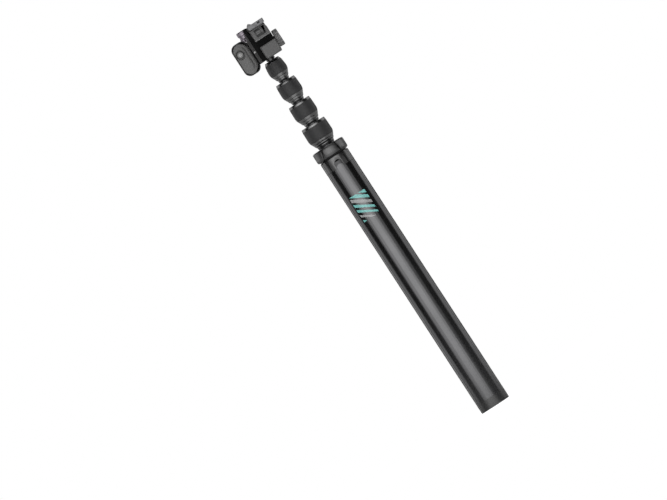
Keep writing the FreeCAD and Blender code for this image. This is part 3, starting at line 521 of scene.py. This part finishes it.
# %% Rubber and metal
def rubber_finish(name, colour, roughness=0.6):
    material, skin, start = finish(name, colour, roughness, ior=1.45)
    fine = grain(start, 0.0004, detail=2.0)
    dust = grain(start, 0.009, detail=4.0).step(0.45, 0.8)
    start.join(uneven(dust, colour, 1.25), skin.inputs["Base Color"])
    start.join(dust * 0.12 + (roughness - 0.06), skin.inputs["Roughness"])
    roughen(start, skin, fine, 0.00001)
    return material


def metal(name, colour, roughness, stretch=(1, 1, 1), size=0.0006):
    material, skin, start = finish(name, colour, roughness, metallic=1.0)
    lines = grain(start, size, stretch)
    wear = grain(start, 0.006).step(0.4, 0.8)
    start.join(lines * 0.1 + wear * 0.08 + (roughness - 0.08), skin.inputs["Roughness"])
    start.join(uneven(wear, colour, 0.85), skin.inputs["Base Color"])
    roughen(start, skin, lines, 0.00001)
    return material


rubber = rubber_finish("rubber", (0.023, 0.023, 0.0237), 0.62)
pad_rubber = rubber_finish("pad_rubber", (0.003, 0.003, 0.003), 0.8)
lilac_metal = metal("lilac_metal", (0.28, 0.254, 0.288), 0.55)
grey_metal = metal("grey_metal", (0.12, 0.12, 0.123), 0.45)
screw_metal = metal("screw_metal", (0.2, 0.2, 0.2), 0.4)
dark_steel = metal("dark_steel", (0.08, 0.08, 0.08), 0.4)
steel = metal("steel", (0.5, 0.5, 0.5), 0.3, (1, 1, 0.1))
painted_steel = satin("painted_steel", (0.02, 0.02, 0.02), 0.35)
cell_steel = metal("cell_steel", (0.62, 0.62, 0.62), 0.2)
print("metals:", lilac_metal.name, grey_metal.name, steel.name)

# %% [markdown]
# ## Dressing a CAD piece
#
# A CAD node is exact, but its mesh is loose triangles with knife-sharp edges, and real
# edges always catch a thin line of light. A dressed copy merges the triangles, joins flat
# ones into whole faces, and rounds the sharp edges with a Bevel modifier. The copy
# replaces the node and rides on the same body.


# %% Copy, merge and round the edges
SHARP_ANGLE = 32.0
FLAT_ANGLE = 0.6


def smooth_mesh(shape, mesh):
    """Writes a bmesh into a mesh, smooth-shaded, and frees the bmesh."""
    shape.to_mesh(mesh)
    shape.free()
    for face in mesh.polygons:
        face.use_smooth = True
    return mesh


def bare_copy(node):
    """A CAD node's mesh with no materials, and the same mesh as a bmesh with joined points."""
    mesh = frame["nodes"][node].data.copy()
    mesh.materials.clear()
    shape = bmesh.new()
    shape.from_mesh(mesh)
    bmesh.ops.remove_doubles(shape, verts=shape.verts, dist=1e-6)
    return mesh, shape


def body_of(node):
    return frame["nodes"][node]["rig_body"]


def keep(mesh, name, body, material, nodes=(), edge=0.0, sharp=SHARP_ANGLE):
    """Makes an object of a finished mesh, shades it, and hands it to the frame."""
    if not mesh.materials:
        mesh.materials.append(material)
    mesh.set_sharp_from_angle(angle=math.radians(sharp))
    piece = bpy.data.objects.new(name, mesh)
    bpy.context.scene.collection.objects.link(piece)
    if edge:
        bevel = piece.modifiers.new("edge", "BEVEL")
        bevel.width = edge
        bevel.segments = 2
        bevel.limit_method = "ANGLE"
        bevel.angle_limit = math.radians(sharp)
        bevel.harden_normals = True
    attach(piece, body)
    if nodes:
        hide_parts(*nodes)
    return piece


def dress(node, material, edge=0.15 * MM):
    mesh, shape = bare_copy(node)
    flat = math.radians(FLAT_ANGLE)
    bmesh.ops.dissolve_limit(shape, angle_limit=flat, verts=shape.verts, edges=shape.edges)
    smooth_mesh(shape, mesh)
    keep(mesh, node + "_dressed", body_of(node), material, [node], edge)


def paint(node, material):
    """Gives a CAD piece whose shape is right a material of its own."""
    mesh = frame["nodes"][node].data
    mesh.materials.clear()
    mesh.materials.append(material)


# %% [markdown]
# ## The legs
#
# Each leg is a third of a round extrusion between a moulded cap and a foot. The arched
# tongue of the extrusion stands up into the cap. Inside are a folded steel bracket and a
# painted strut, which show when the legs are open.

# %% Dress the legs
LEGS = (1, 2, 3)
for number in LEGS:
    dress("leg_shell_%d" % number, leg_skins[number - 1], 0.2 * MM)
    dress("leg_cap_%d" % number, cap_black, 0.2 * MM)
    dress("foot_cap_%d" % number, foot_black, 0.2 * MM)
    dress("strut_%d" % number, painted_steel)
    dress("strut_bracket_%d" % number, steel)
    paint("strut_pin_%d" % number, steel)
print("legs dressed:", len(LEGS))

# %% [markdown]
# ## The hub and the spreader
#
# The hub is a thick moulded collar, and its outside is soft, like a bar of used soap: the
# light on it fades towards its top and bottom, and its right side turns away as a lobe of
# its own. A Bump node bends the light as if the collar had that shape. The spreader ring
# slides on the pole inside the legs. A soft rubber ring fills the slot between the hub and
# the caps.

# %% The soft finish of the hub
HUB_BULGE = 1.3 * MM
LOBE_START, LOBE_FALL = 9.0 * MM, 0.34
HUB_BLACK = (0.015, 0.015, 0.0153)
HUB_WORN = (0.018, 0.018, 0.0183)


def hub_finish(low, high):
    material, skin, start = finish("hub_black", HUB_BLACK, 0.33, ior=1.8)
    across, _, height = place_of(start).axes()
    lobe = across.sum("MAXIMUM", across - LOBE_START, 0.0) * (LOBE_FALL / HUB_BULGE)
    middle, half = (low + high) / 2, (high - low) / 2
    share = (height - middle) / half
    bulge = 1 - share * share * share * share
    pits = grain(start, 0.0004, detail=2.0)
    roughen(start, skin, bulge - lobe + pits * 0.004, HUB_BULGE)
    start.join(grain(start, 0.012) * 0.1 + 0.28, skin.inputs["Roughness"])
    patches = grain(start, 0.02).step(0.4, 0.7)
    start.join(patches.blend((*HUB_BLACK, 1), (*HUB_WORN, 1)), skin.inputs["Base Color"])
    return material


# %% Dress the hub and the spreader
hub_low, hub_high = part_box("hub_collar")
CAP_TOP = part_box("leg_cap_1")[1].z
HUB_OUTER_LOW = CAP_TOP + 1.9 * MM
dress("hub_collar", hub_finish(HUB_OUTER_LOW, hub_high.z), 0.3 * MM)
dress("spreader_ring", satin_black)
paint("leg_hinge_pins", dark_steel)
paint("ring_pins", steel)
paint("tube_plug_5", satin_black)
print("hub:", [round(v / MM, 1) for v in hub_high], "mm")

# %% [markdown]
# ## The pole
#
# The five tubes are turned here about the pole's axis rather than dressed. A lathe
# function spins an outline of radius and height into a closed skin, with more steps round
# than the CAD facets have, so the long stripes of light on them stay straight.


# %% The lathe
def turned(outline, steps=96):
    """A closed mesh spun from (radius, height) points that go round the section once."""
    shape = bmesh.new()
    rings = []
    for radius, height in outline:
        ring = []
        for step in range(steps):
            angle = 2 * math.pi * step / steps
            point = (radius * math.cos(angle), radius * math.sin(angle), height)
            ring.append(shape.verts.new(point))
        rings.append(ring)
    for low, high in zip(rings, rings[1:] + rings[:1]):
        for step in range(steps):
            after = (step + 1) % steps
            shape.faces.new((low[step], low[after], high[after], high[step]))
    bmesh.ops.remove_doubles(shape, verts=shape.verts, dist=1e-7)
    bmesh.ops.recalc_face_normals(shape, faces=shape.faces)
    return smooth_mesh(shape, bpy.data.meshes.new("turned"))


# %% Turn the soft ring under the hub
ring_low, ring_high = CAP_TOP + 0.15 * MM, HUB_OUTER_LOW + 0.05 * MM
RING_IN, RING_OUT, RING_ROUND = 13.6 * MM, 17.0 * MM, 0.4 * MM
ring_flat = RING_OUT - RING_ROUND
ring = [(RING_IN, ring_low), (ring_flat, ring_low), (RING_OUT, ring_low + RING_ROUND),
        (RING_OUT, ring_high - RING_ROUND), (ring_flat, ring_high), (RING_IN, ring_high)]
soft_ring = keep(turned(ring), "hub_soft_ring", body_of("hub_collar"), pad_rubber)
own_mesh(soft_ring)
print("soft ring:", round((ring_high - ring_low) / MM, 2), "mm thick")

# %% Turn the tubes
TUBE_WALL = 0.9 * MM


def pole_tube(number):
    node = "tube_%d" % number
    low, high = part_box(node)
    radius = high.x
    bore = radius - TUBE_WALL
    outline = [(radius, low.z), (radius, high.z), (bore, high.z), (bore, low.z)]
    keep(turned(outline), "pole_%d" % number, body_of(node), anodised, [node], 0.2 * MM)
    return radius


print("tube radii:", [round(pole_tube(number) / MM, 2) for number in range(1, 6)], "mm")

# %% [markdown]
# ## The twist locks
#
# A lock is a polished collar with a rubber sleeve round its middle. The polished cone
# below the rubber and the ring above it catch one bright spot each, which is most of what
# makes the pole read as four separate locks. The rubber swells like a barrel. Its outline
# is two arcs, each through three points, and the lathe spins them with a plain core.

# %% Arcs
def arc(first, middle, last, steps=16):
    """Points on the circle through three (radius, height) points, from the first to the last."""
    a, b, c = (Vector(point) for point in (first, middle, last))
    twice = 2 * ((b - a).x * (c - a).y - (b - a).y * (c - a).x)
    ab, ac = (b - a).length_squared, (c - a).length_squared
    centre = a + Vector(((c - a).y * ab - (b - a).y * ac, (b - a).x * ac - (c - a).x * ab)) / twice
    start = math.atan2(*(a - centre).yx)
    sweep = (a - centre).angle_signed(c - centre, 0.0)
    radius = (a - centre).length
    points = []
    for step in range(steps + 1):
        angle = start - sweep * step / steps
        points.append((centre.x + radius * math.cos(angle), centre.y + radius * math.sin(angle)))
    return points


def reach_at(node, height):
    """The greatest distance from the pole's axis of a node's points at one height."""
    points = [v.co for v in frame["nodes"][node].data.vertices if abs(v.co.z - height) < 0.01 * MM]
    return max(point.xy.length for point in points)


# %% Turn the grips
GRIP_WALL = 1.8 * MM
GRIP_FOOT = 4.0 * MM
GRIP_FOOT_ROUND = 0.3 * MM
GRIP_SWELL = 0.15


def grip(number):
    node = "lock_grip_%d" % number
    low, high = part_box(node)
    widest = high.x
    foot_r, top_r = reach_at(node, low.z), reach_at(node, high.z)
    full = low.z + GRIP_FOOT
    swell = (widest - top_r) * GRIP_SWELL
    foot = arc((foot_r, low.z), (widest - GRIP_FOOT_ROUND, low.z + GRIP_FOOT / 2), (widest, full))
    side = arc((widest, full), ((widest + top_r) / 2 + swell, (full + high.z) / 2), (top_r, high.z))
    core = widest - GRIP_WALL
    mesh = turned(foot + side[1:] + [(core, high.z), (core, low.z)])
    keep(mesh, "grip_%d" % number, body_of(node), rubber, [node], 0.1 * MM, sharp=50)
    return round(widest / MM, 2)


LOCKS = range(1, 5)
print("grip radii:", [grip(number) for number in LOCKS], "mm")

# %% Dress the rest of the locks
for number in LOCKS:
    paint("tube_bush_%d" % number, nylon)
    dress("lock_sleeve_%d" % number, polished_black)
    dress("lock_nut_%d" % number, polished_black, 0.2 * MM)
print("locks dressed")

# %% [markdown]
# ## The clamp
#
# The clamp's back is black and matt, so the grey jaws stand out from it, and only the rail
# beside the remote is grey. One material does both: the rail is what lies left of the
# clamp's body and near its front.

# %% The clamp's back
RAIL_GREY = (0.06, 0.059, 0.059, 1)
CLAMP_BLACK = (0.004, 0.004, 0.0041, 1)
CLAMP_WORN = (0.006, 0.006, 0.0062, 1)
RAIL_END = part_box("clamp_slider")[0].x - 4.2 * MM
RAIL_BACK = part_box("remote_front")[0].y + 2.4 * MM


def clamp_finish():
    material, skin, start = finish("clamp_black_and_grey", CLAMP_BLACK[:3], 0.6, ior=1.16)
    across, depth, _ = place_of(start).axes()
    rail = (across < RAIL_END) * (depth < RAIL_BACK)
    black = grain(start, 0.01).step(0.4, 0.7).blend(CLAMP_BLACK, CLAMP_WORN)
    start.join(rail.blend(black, RAIL_GREY), skin.inputs["Base Color"])
    roughen(start, skin, grain(start, 0.0005, detail=2.0), 0.00001)
    return material


dress("clamp_frame", clamp_finish(), 0.3 * MM)
dress("clamp_slider", matt_black, 0.2 * MM)
dress("swivel_base", satin_black, 0.3 * MM)
dress("neck_plug", gloss_black)
dress("tilt_bolt", steel)
print("clamp's back dressed")

# %% [markdown]
# ### The jaws
#
# The upper jaw has a sunk window with a raised square in it. In the photograph a black
# band runs above and below the square, wider than the sunk part. The band is partly a colour
# of the moulding and partly painted shade of the sunk window. The jaw's material paints it
# on the front face.

# %% The upper jaw's finish
JAW_GREY = (0.07, 0.069, 0.069, 1)
SHADE_BAND_BLACK = (0.004, 0.004, 0.004, 1)
BAND_LEFT, BAND_RIGHT = 0.7 * MM, 11.6 * MM
BAND_SOFT = 0.3 * MM
WINDOW_BANDS = ((481.0 * MM, 484.2 * MM), (487.6 * MM, 490.6 * MM))
jaw_low, jaw_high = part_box("upper_jaw")


def jaw_finish():
    material, skin, start = finish("jaw_grey_shade_bands", JAW_GREY[:3], 0.45)
    across, depth, height = place_of(start).axes()
    front = (depth < jaw_low.y + 2 * MM) * (across > BAND_LEFT) * (across < BAND_RIGHT)
    # painted shade: black bands in the sunk window, partly the moulding's own colour
    band = 0
    for low, high in WINDOW_BANDS:
        over_low = height.step(low - BAND_SOFT, low + BAND_SOFT)
        over_high = height.step(high - BAND_SOFT, high + BAND_SOFT)
        band = over_low * (1 - over_high) + band
    start.join((front * band).blend(JAW_GREY, SHADE_BAND_BLACK), skin.inputs["Base Color"])
    start.join(grain(start, 0.012) * 0.1 + 0.4, skin.inputs["Roughness"])
    roughen(start, skin, grain(start, 0.0004, detail=2.0), 0.000006)
    return material


jaw_grey_shade_bands = jaw_finish()
print("bands:", len(WINDOW_BANDS))

# %% [markdown]
# A rounded bead, paler than the jaw, runs along the lip's lower edge; its paler grey is a painted
# highlight for the light that the lip's edge catches.
# A small gusset ties the jaw to the fence behind the shoe. Both are prisms: an outline
# pushed along one direction.

# %% Dress the jaws and add the bead and the gusset
def prism(outline, push):
    """A closed mesh from an outline of points pushed along a vector."""
    shape = bmesh.new()
    face = shape.faces.new([shape.verts.new(point) for point in outline])
    moved = bmesh.ops.extrude_face_region(shape, geom=[face])["geom"]
    verts = [item for item in moved if isinstance(item, bmesh.types.BMVert)]
    bmesh.ops.translate(shape, verts=verts, vec=push)
    bmesh.ops.recalc_face_normals(shape, faces=shape.faces)
    return smooth_mesh(shape, bpy.data.meshes.new("prism"))


BEAD_R = 0.7 * MM
BEAD_SIDES = 12
BEAD_PAST_PAD = 0.8 * MM
GUSSET_THICK = 1.1 * MM
GUSSET = ((-5.4, 491.2), (-5.2, 488.4), (-4.2, 487.6), (-2.4, 487.6), (-2.4, 491.2))

dress("lower_jaw", satin_grey, 0.4 * MM)
dress("upper_jaw", jaw_grey_shade_bands, 0.3 * MM)
pad_low, pad_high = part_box("upper_pad")
bead_end = Vector((pad_low.x - BEAD_PAST_PAD, jaw_low.y + 0.1 * MM, pad_high.z - 2.0 * MM))
bead = []
for step in range(BEAD_SIDES):
    angle = 2 * math.pi * step / BEAD_SIDES
    bead.append(bead_end + Vector((0, math.cos(angle), math.sin(angle))) * BEAD_R)
along = Vector((pad_high.x - pad_low.x + 2 * BEAD_PAST_PAD, 0, 0))
# painted highlight: the bead takes the knob's paler grey
keep(prism(bead, along), "lip_bead", body_of("upper_jaw"), knob_grey)
gusset = prism([(x * MM, jaw_high.y, z * MM) for x, z in GUSSET], Vector((0, -GUSSET_THICK, 0)))
keep(gusset, "jaw_gusset", body_of("upper_jaw"), matt_black, edge=0.1 * MM)
print("bead:", round(2 * BEAD_R / MM, 1), "mm")

# %% Dress the knob, the shoe and the spindle
dress("tilt_knob", knob_grey, 0.2 * MM)
dress("accessory_shoe", grey_metal, 0.2 * MM)
dress("lock_spindle", lilac_metal, 0.2 * MM)
print("head dressed")

# %% [markdown]
# ### The remote
#
# The remote's lid is crowned like a pebble, and a shallow groove runs down its right side a
# little way in from its edge. The copy of the lid is cut into small triangles first,
# because only points can move. Points near the corners and the right edge are drawn in, so
# that the black tub shows round them: a dark rim that is partly the real two-part shell and
# partly painted shade for the remote's shaded right side. All points are pushed back by the
# crown and the groove, less and less towards the rear.

# %% Crown the lid
LID_INSET_AS_SHADE = 0.35 * MM
CORNER_LEFT, CORNER_RIGHT = 7.6 * MM, 9.4 * MM
CROWN_LEFT, CROWN_RIGHT = 1.0 * MM, 2.6 * MM
CROWN_ALONG = 0.7 * MM
GROOVE_IN = 3.4 * MM
GROOVE_HALF = 1.9 * MM
GROOVE_DEPTH = 0.4 * MM
LONGEST_EDGE = 0.9 * MM
MOST_CUTS = 7
remote_low, remote_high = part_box("remote_front")


def lid_edge(x, z, middle, half):
    """How far a point of the lid is inside its edge, and which way is out."""
    out = Vector((x - middle.x, z - middle.z))
    rightward = min(max(out.x / half.x + 0.5, 0), 1)
    # painted shade: drawing the lid in on the right shows the black tub as a dark rim
    inset = LID_INSET_AS_SHADE * rightward
    corner = CORNER_LEFT + (CORNER_RIGHT - CORNER_LEFT) * rightward - inset
    side_x, side_z = half.x - inset - corner, half.z - inset - corner
    over = Vector((max(abs(out.x) - side_x, 0), max(abs(out.y) - side_z, 0)))
    if over.x and over.y:
        way = Vector((math.copysign(over.x, out.x), math.copysign(over.y, out.y))).normalized()
        return corner - over.length, way
    if over.x - corner > over.y - corner:
        return corner - over.x, Vector((math.copysign(1, out.x), 0))
    return corner - over.y, Vector((0, math.copysign(1, out.y)))


def crown(spot, middle, half):
    """How far the crown lies behind a flat lid at a place."""
    across = (spot.x - middle.x) / half.x
    along = (spot.z - middle.z) / half.z
    rise = CROWN_RIGHT if across > 0 else CROWN_LEFT
    return rise * across ** 2 + CROWN_ALONG * along ** 4


def cut_small(shape):
    """Halves the long edges until none is left."""
    for cut in range(MOST_CUTS):
        long_edges = [edge for edge in shape.edges if edge.calc_length() > LONGEST_EDGE]
        if not long_edges:
            return
        bmesh.ops.subdivide_edges(shape, edges=long_edges, cuts=1)
        bmesh.ops.triangulate(shape, faces=shape.faces)


def crowned(node, lid):
    """A crowned copy of the lid, or of the tub, which follows the lid's crown uncut."""
    low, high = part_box(node)
    middle, half = (remote_low + remote_high) / 2, (high - low) / 2
    mesh, shape = bare_copy(node)
    if lid:
        cut_small(shape)
    for vert in shape.verts:
        share = (high.y - vert.co.y) / (high.y - low.y)
        back = crown(vert.co, middle, half)
        if lid:
            inside, way = lid_edge(vert.co.x, vert.co.z, middle, half)
            if inside < 0:
                vert.co.x += way.x * inside
                vert.co.z += way.y * inside
            rightward = min(max((vert.co.x - middle.x) / half.x * 2, 0), 1)
            groove = max(1 - ((inside - GROOVE_IN) / GROOVE_HALF) ** 2, 0) ** 2
            back += GROOVE_DEPTH * rightward * groove
        vert.co.y += back * share
    return smooth_mesh(shape, mesh)


# %% [markdown]
# The button is pale in its middle and greyer outwards, a painted highlight, and a dark ring
# of painted shade lies in the lid round it, over the groove pressed in there. Both finishes
# measure the distance from the button's centre.

# %% The lid and the button
LID_GREY = (0.088, 0.087, 0.086, 1)
GROOVE_SHADE_BLACK = (0.03, 0.03, 0.03, 1)
GROOVE_SHADE_EDGE = (4.2 * MM, 5.1 * MM)
BUTTON_HIGHLIGHT_GREY = (0.32, 0.32, 0.315, 1)
BUTTON_EDGE_GREY = (0.06, 0.06, 0.059, 1)
BUTTON_HIGHLIGHT_REACH = (0.9 * MM, 3.2 * MM)


def from_button(start):
    """Distance from the button's centre, measured flat across the lid."""
    low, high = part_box("remote_button")
    centre = (low + high) / 2
    across = {0: place_of(start), 1: (1, 0, 1)}
    flat = start.add("ShaderNodeVectorMath", {"operation": "MULTIPLY"}, across)
    ends = {0: flat, 1: (centre.x, 0, centre.z)}
    return start.add("ShaderNodeVectorMath", {"operation": "DISTANCE"}, ends, "Value")


def lid_finish():
    """Satin grey with a dark ring of painted shade round the button, over its groove."""
    material, skin, start = finish("lid_grey_groove_shade", LID_GREY[:3], 0.4)
    # painted shade: a dark ring round the button, over its groove
    outside = from_button(start).step(*GROOVE_SHADE_EDGE)
    start.join(outside.blend(GROOVE_SHADE_BLACK, LID_GREY), skin.inputs["Base Color"])
    start.join(grain(start, 0.012) * 0.1 + 0.35, skin.inputs["Roughness"])
    roughen(start, skin, grain(start, 0.0004, detail=2.0), 0.000006)
    return material


def button_finish():
    """Pale in the middle and greyer at the edge: a painted highlight on the button."""
    material, skin, start = finish("button_grey_painted_highlight", BUTTON_HIGHLIGHT_GREY[:3], 0.3)
    # painted highlight: the button's pale middle fading to grey at its edge
    edge = from_button(start).step(*BUTTON_HIGHLIGHT_REACH)
    start.join(edge.blend(BUTTON_HIGHLIGHT_GREY, BUTTON_EDGE_GREY), skin.inputs["Base Color"])
    start.join(grain(start, 0.004) * 0.15 + 0.25, skin.inputs["Roughness"])
    roughen(start, skin, grain(start, 0.0006), 0.000005)
    return material


lid = crowned("remote_front", lid=True)
keep(lid, "remote_lid", body_of("remote_front"), lid_finish(), ["remote_front"], sharp=40)
tub = crowned("remote_back", lid=False)
keep(tub, "remote_tub", body_of("remote_back"), gloss_black, ["remote_back"], sharp=40)
dress("remote_button", button_finish(), 0.3 * MM)
paint("coin_cell", cell_steel)
print("lid faces:", len(lid.polygons))

# %% [markdown]
# ## What repeats
#
# Ribs, ridges and screws are one small shape many times over, which is a job for Geometry
# Nodes. Each tree below has named inputs for its sizes and ends in Realize Instances and
# Set Material, so the result is a plain mesh that can be moved, ridden on a body and
# exported like any other.


# %% Start, end and run a tree
def node_tree(name, inputs):
    """An empty tree with named inputs: returns it, a wire to start from, and the inputs."""
    tree = bpy.data.node_groups.new(name, "GeometryNodeTree")
    sockets = tree.interface
    for label, kind in inputs.items():
        sockets.new_socket(label, in_out="INPUT", socket_type="NodeSocket" + kind)
    sockets.new_socket("Geometry", in_out="OUTPUT", socket_type="NodeSocketGeometry")
    entry = tree.nodes.new("NodeGroupInput")
    return tree, Wire(tree), {label: Wire(tree, entry.outputs[label]) for label in inputs}


def end_tree(tree, start, grown, material):
    """Makes what has grown a real, painted mesh, and returns the finished tree."""
    real = start.add("GeometryNodeRealizeInstances", inputs={"Geometry": grown})
    paint_it = {"Geometry": real, "Material": material}
    painted = start.add("GeometryNodeSetMaterial", inputs=paint_it)
    leave = tree.nodes.new("NodeGroupOutput")
    start.join(painted, leave.inputs["Geometry"])
    return tree


def grow(name, tree, values, spots=None):
    """Runs a tree on an empty mesh, or on one of spots, and returns a plain mesh."""
    seed = spots or bpy.data.meshes.new(name + "_seed")
    host = bpy.data.objects.new(name + "_host", seed)
    bpy.context.scene.collection.objects.link(host)
    modifier = host.modifiers.new("grow", "NODES")
    modifier.node_group = tree
    for item in tree.interface.items_tree:
        if item.in_out == "INPUT" and item.name in values:
            modifier[item.identifier] = values[item.name]
    bpy.context.view_layer.update()
    ready = host.evaluated_get(bpy.context.evaluated_depsgraph_get())
    mesh = bpy.data.meshes.new_from_object(ready)
    bpy.data.objects.remove(host)
    return mesh


# %% [markdown]
# ### Ribbed pads
#
# The jaws grip through rubber pads with ribs across them. A cube gives the base, and a
# line of points carries one rounded rib each, laid over on its side.

# %% Pads
FINE_EDGE = 0.05 * MM
RIB_SIDES = 12
RIB_LENGTH = 0.96


def pad_tree():
    inputs = {"Width": "Float", "Depth": "Float", "Base": "Float", "Ribs": "Int",
              "Rib radius": "Float", "Finish": "Material"}
    tree, start, size = node_tree("ribbed_pad", inputs)
    sides = {0: size["Width"], 1: size["Depth"], 2: size["Base"]}
    extent = start.add("ShaderNodeCombineXYZ", inputs=sides)
    base = start.add("GeometryNodeMeshCube", inputs={"Size": extent})
    pitch = size["Width"] / size["Ribs"]
    end_gap = (pitch - size["Width"]) * 0.5
    first = start.add("ShaderNodeCombineXYZ", inputs={0: end_gap, 2: size["Base"] * 0.5})
    step = start.add("ShaderNodeCombineXYZ", inputs={0: pitch})
    along = {"Count": size["Ribs"], "Start Location": first, "Offset": step}
    line = start.add("GeometryNodeMeshLine", inputs=along)
    rib = {"Vertices": RIB_SIDES, "Radius": size["Rib radius"], "Depth": size["Depth"] * RIB_LENGTH}
    bar = start.add("GeometryNodeMeshCylinder", inputs=rib)
    on_its_side = {"Geometry": bar, "Rotation": (math.pi / 2, 0, 0)}
    laid = start.add("GeometryNodeTransform", inputs=on_its_side)
    ribs = start.add("GeometryNodeInstanceOnPoints", inputs={"Points": line, "Instance": laid})
    both = tree.nodes.new("GeometryNodeJoinGeometry")
    start.join(base, both.inputs[0])
    start.join(ribs, both.inputs[0])
    return end_tree(tree, start, Wire(tree, both.outputs[0]), size["Finish"])


RIBBED_PAD = pad_tree()
RIB_RADIUS = 0.3 * MM
RIB_COUNT = 14


def ribbed_pad(node, side):
    """Replaces a plain pad. Side is 1 where the ribs point up and -1 where they point down."""
    low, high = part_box(node)
    size = high - low
    values = {"Width": size.x, "Depth": size.y, "Base": size.z - RIB_RADIUS, "Ribs": RIB_COUNT,
              "Rib radius": RIB_RADIUS, "Finish": pad_rubber}
    mesh = grow(node, RIBBED_PAD, values)
    middle = (low + high) / 2 - Vector((0, 0, side * RIB_RADIUS / 2))
    turn = Matrix.Rotation(0 if side > 0 else math.pi, 4, "X")
    mesh.transform(Matrix.Translation(middle) @ turn)
    keep(mesh, node + "_ribbed", body_of(node), pad_rubber, [node], FINE_EDGE)
    return len(mesh.polygons)


print("pad faces:", ribbed_pad("lower_pad", 1), ribbed_pad("upper_pad", -1))

# %% [markdown]
# ### The knurl
#
# The spindle's knob is knurled so that wet fingers can turn it: a ring of fine upright
# ridges, mostly sunk in its rim. The tree puts a thin bar on each point of a circle.

# %% Knurl
RIDGE_COUNT = 60
RIDGE_SIDES = 8
RIDGE_RADIUS = 0.1 * MM
RIDGE_SINK = 0.08 * MM
RIM_HEIGHT = 5.6 * MM
RIM_EDGE = 1.2 * MM


def knurl_tree():
    inputs = {"Count": "Int", "Ring radius": "Float", "Ridge radius": "Float",
              "Length": "Float", "Finish": "Material"}
    tree, start, size = node_tree("knurl", inputs)
    ring = {"Vertices": size["Count"], "Radius": size["Ring radius"]}
    circle = start.add("GeometryNodeMeshCircle", inputs=ring)
    bar = {"Vertices": RIDGE_SIDES, "Radius": size["Ridge radius"], "Depth": size["Length"]}
    ridge = start.add("GeometryNodeMeshCylinder", inputs=bar)
    on_ring = {"Points": circle, "Instance": ridge}
    placed = start.add("GeometryNodeInstanceOnPoints", inputs=on_ring)
    return end_tree(tree, start, placed, size["Finish"])


low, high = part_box("lock_spindle")
knob_r = (high.y - low.y) / 2
values = {"Count": RIDGE_COUNT, "Ring radius": knob_r - RIDGE_SINK, "Ridge radius": RIDGE_RADIUS,
          "Length": RIM_HEIGHT - 2 * RIM_EDGE, "Finish": lilac_metal}
knurl = grow("knurl", knurl_tree(), values)
rim_middle = (high.x - knob_r, high.y - knob_r, high.z - RIM_HEIGHT / 2)
knurl.transform(Matrix.Translation(rim_middle))
keep(knurl, "spindle_knurl", body_of("lock_spindle"), lilac_metal)
print("ridges:", RIDGE_COUNT)

# %% [markdown]
# ### Screws
#
# One tree makes every small fastener: a short round head with a six-sided socket. It is
# placed on loose points, and each point says which way its head faces in an attribute.

# %% Screws
HEAD_SIDES, SOCKET_SIDES = 24, 6
SOCKET_PLACE = 0.45


def screw_tree():
    inputs = {"Geometry": "Geometry", "Head radius": "Float", "Head height": "Float",
              "Socket radius": "Float", "Finish": "Material"}
    tree, start, size = node_tree("screws", inputs)
    tall = size["Head height"]
    disc = {"Vertices": HEAD_SIDES, "Radius": size["Head radius"], "Depth": tall}
    head = start.add("GeometryNodeMeshCylinder", inputs=disc)
    key = {"Vertices": SOCKET_SIDES, "Radius": size["Socket radius"], "Depth": tall}
    drill = start.add("GeometryNodeMeshCylinder", inputs=key)
    rise = start.add("ShaderNodeCombineXYZ", inputs={"Z": tall * SOCKET_PLACE})
    lifted = {"Geometry": drill, "Translation": rise}
    raised = start.add("GeometryNodeTransform", inputs=lifted)
    parts = {"Mesh 1": head, "Mesh 2": raised}
    screw = start.add("GeometryNodeMeshBoolean", {"operation": "DIFFERENCE"}, parts)
    kind = {"data_type": "FLOAT_VECTOR"}
    facing = start.add("GeometryNodeInputNamedAttribute", kind, {"Name": "facing"})
    turn = start.add("FunctionNodeAlignRotationToVector", {"axis": "Z"}, {"Vector": facing})
    spread = {"Points": size["Geometry"], "Instance": screw, "Rotation": turn}
    placed = start.add("GeometryNodeInstanceOnPoints", inputs=spread)
    return end_tree(tree, start, placed, size["Finish"])


SCREWS = screw_tree()


def fasten(name, node, places, sizes, material):
    """Puts a screw head at each (place, facing) on a node. Sizes are radius, height, socket."""
    radius, height, socket = sizes
    spots = bpy.data.meshes.new(name + "_spots")
    spots.from_pydata([tuple(place) for place, facing in places], [], [])
    attribute = spots.attributes.new("facing", "FLOAT_VECTOR", "POINT")
    for entry, (place, facing) in zip(attribute.data, places):
        entry.vector = facing
    values = {"Head radius": radius, "Head height": height, "Socket radius": socket,
              "Finish": material}
    mesh = grow(name, SCREWS, values, spots)
    keep(mesh, name, body_of(node), material, edge=FINE_EDGE)


# %% [markdown]
# The hub has one small socket screw beside each leg, and one screw holds the rail to the
# clamp.

# %% Where the fasteners go
HUB_SCREW_AZIMUTH = math.radians(29)
HUB_SCREW = (1.0 * MM, 0.8 * MM, 0.5 * MM)
HUB_SCREW_SINK = 1.3 * MM
HUB_SCREW_DROP = 4.5 * MM
RAIL_SCREW = (1.1 * MM, 0.6 * MM, 0.35 * MM)
RAIL_SCREW_OFFSET = Vector((2.0, 1.0, 19.0)) * MM


def round_pole(point, number):
    return Matrix.Rotation(LEG_TURN * (number - 1), 3, "Z") @ point


hub_r = (hub_high.x - hub_low.x) / 2
facing = Vector((math.sin(HUB_SCREW_AZIMUTH), -math.cos(HUB_SCREW_AZIMUTH), 0))
place = facing * (hub_r - HUB_SCREW_SINK) + Vector((0, 0, hub_high.z - HUB_SCREW_DROP))
hub_spots = [(round_pole(place, number), round_pole(facing, number)) for number in LEGS]
fasten("hub_screws", "hub_collar", hub_spots, HUB_SCREW, dark_steel)

remote_corner = Vector((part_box("remote_back")[1].x, remote_low.y, remote_low.z))
rail_spots = [(remote_corner + RAIL_SCREW_OFFSET, Vector((0, -1, 0)))]
fasten("rail_screw", "clamp_frame", rail_spots, RAIL_SCREW, screw_metal)
print("screws:", len(hub_spots) + len(rail_spots))
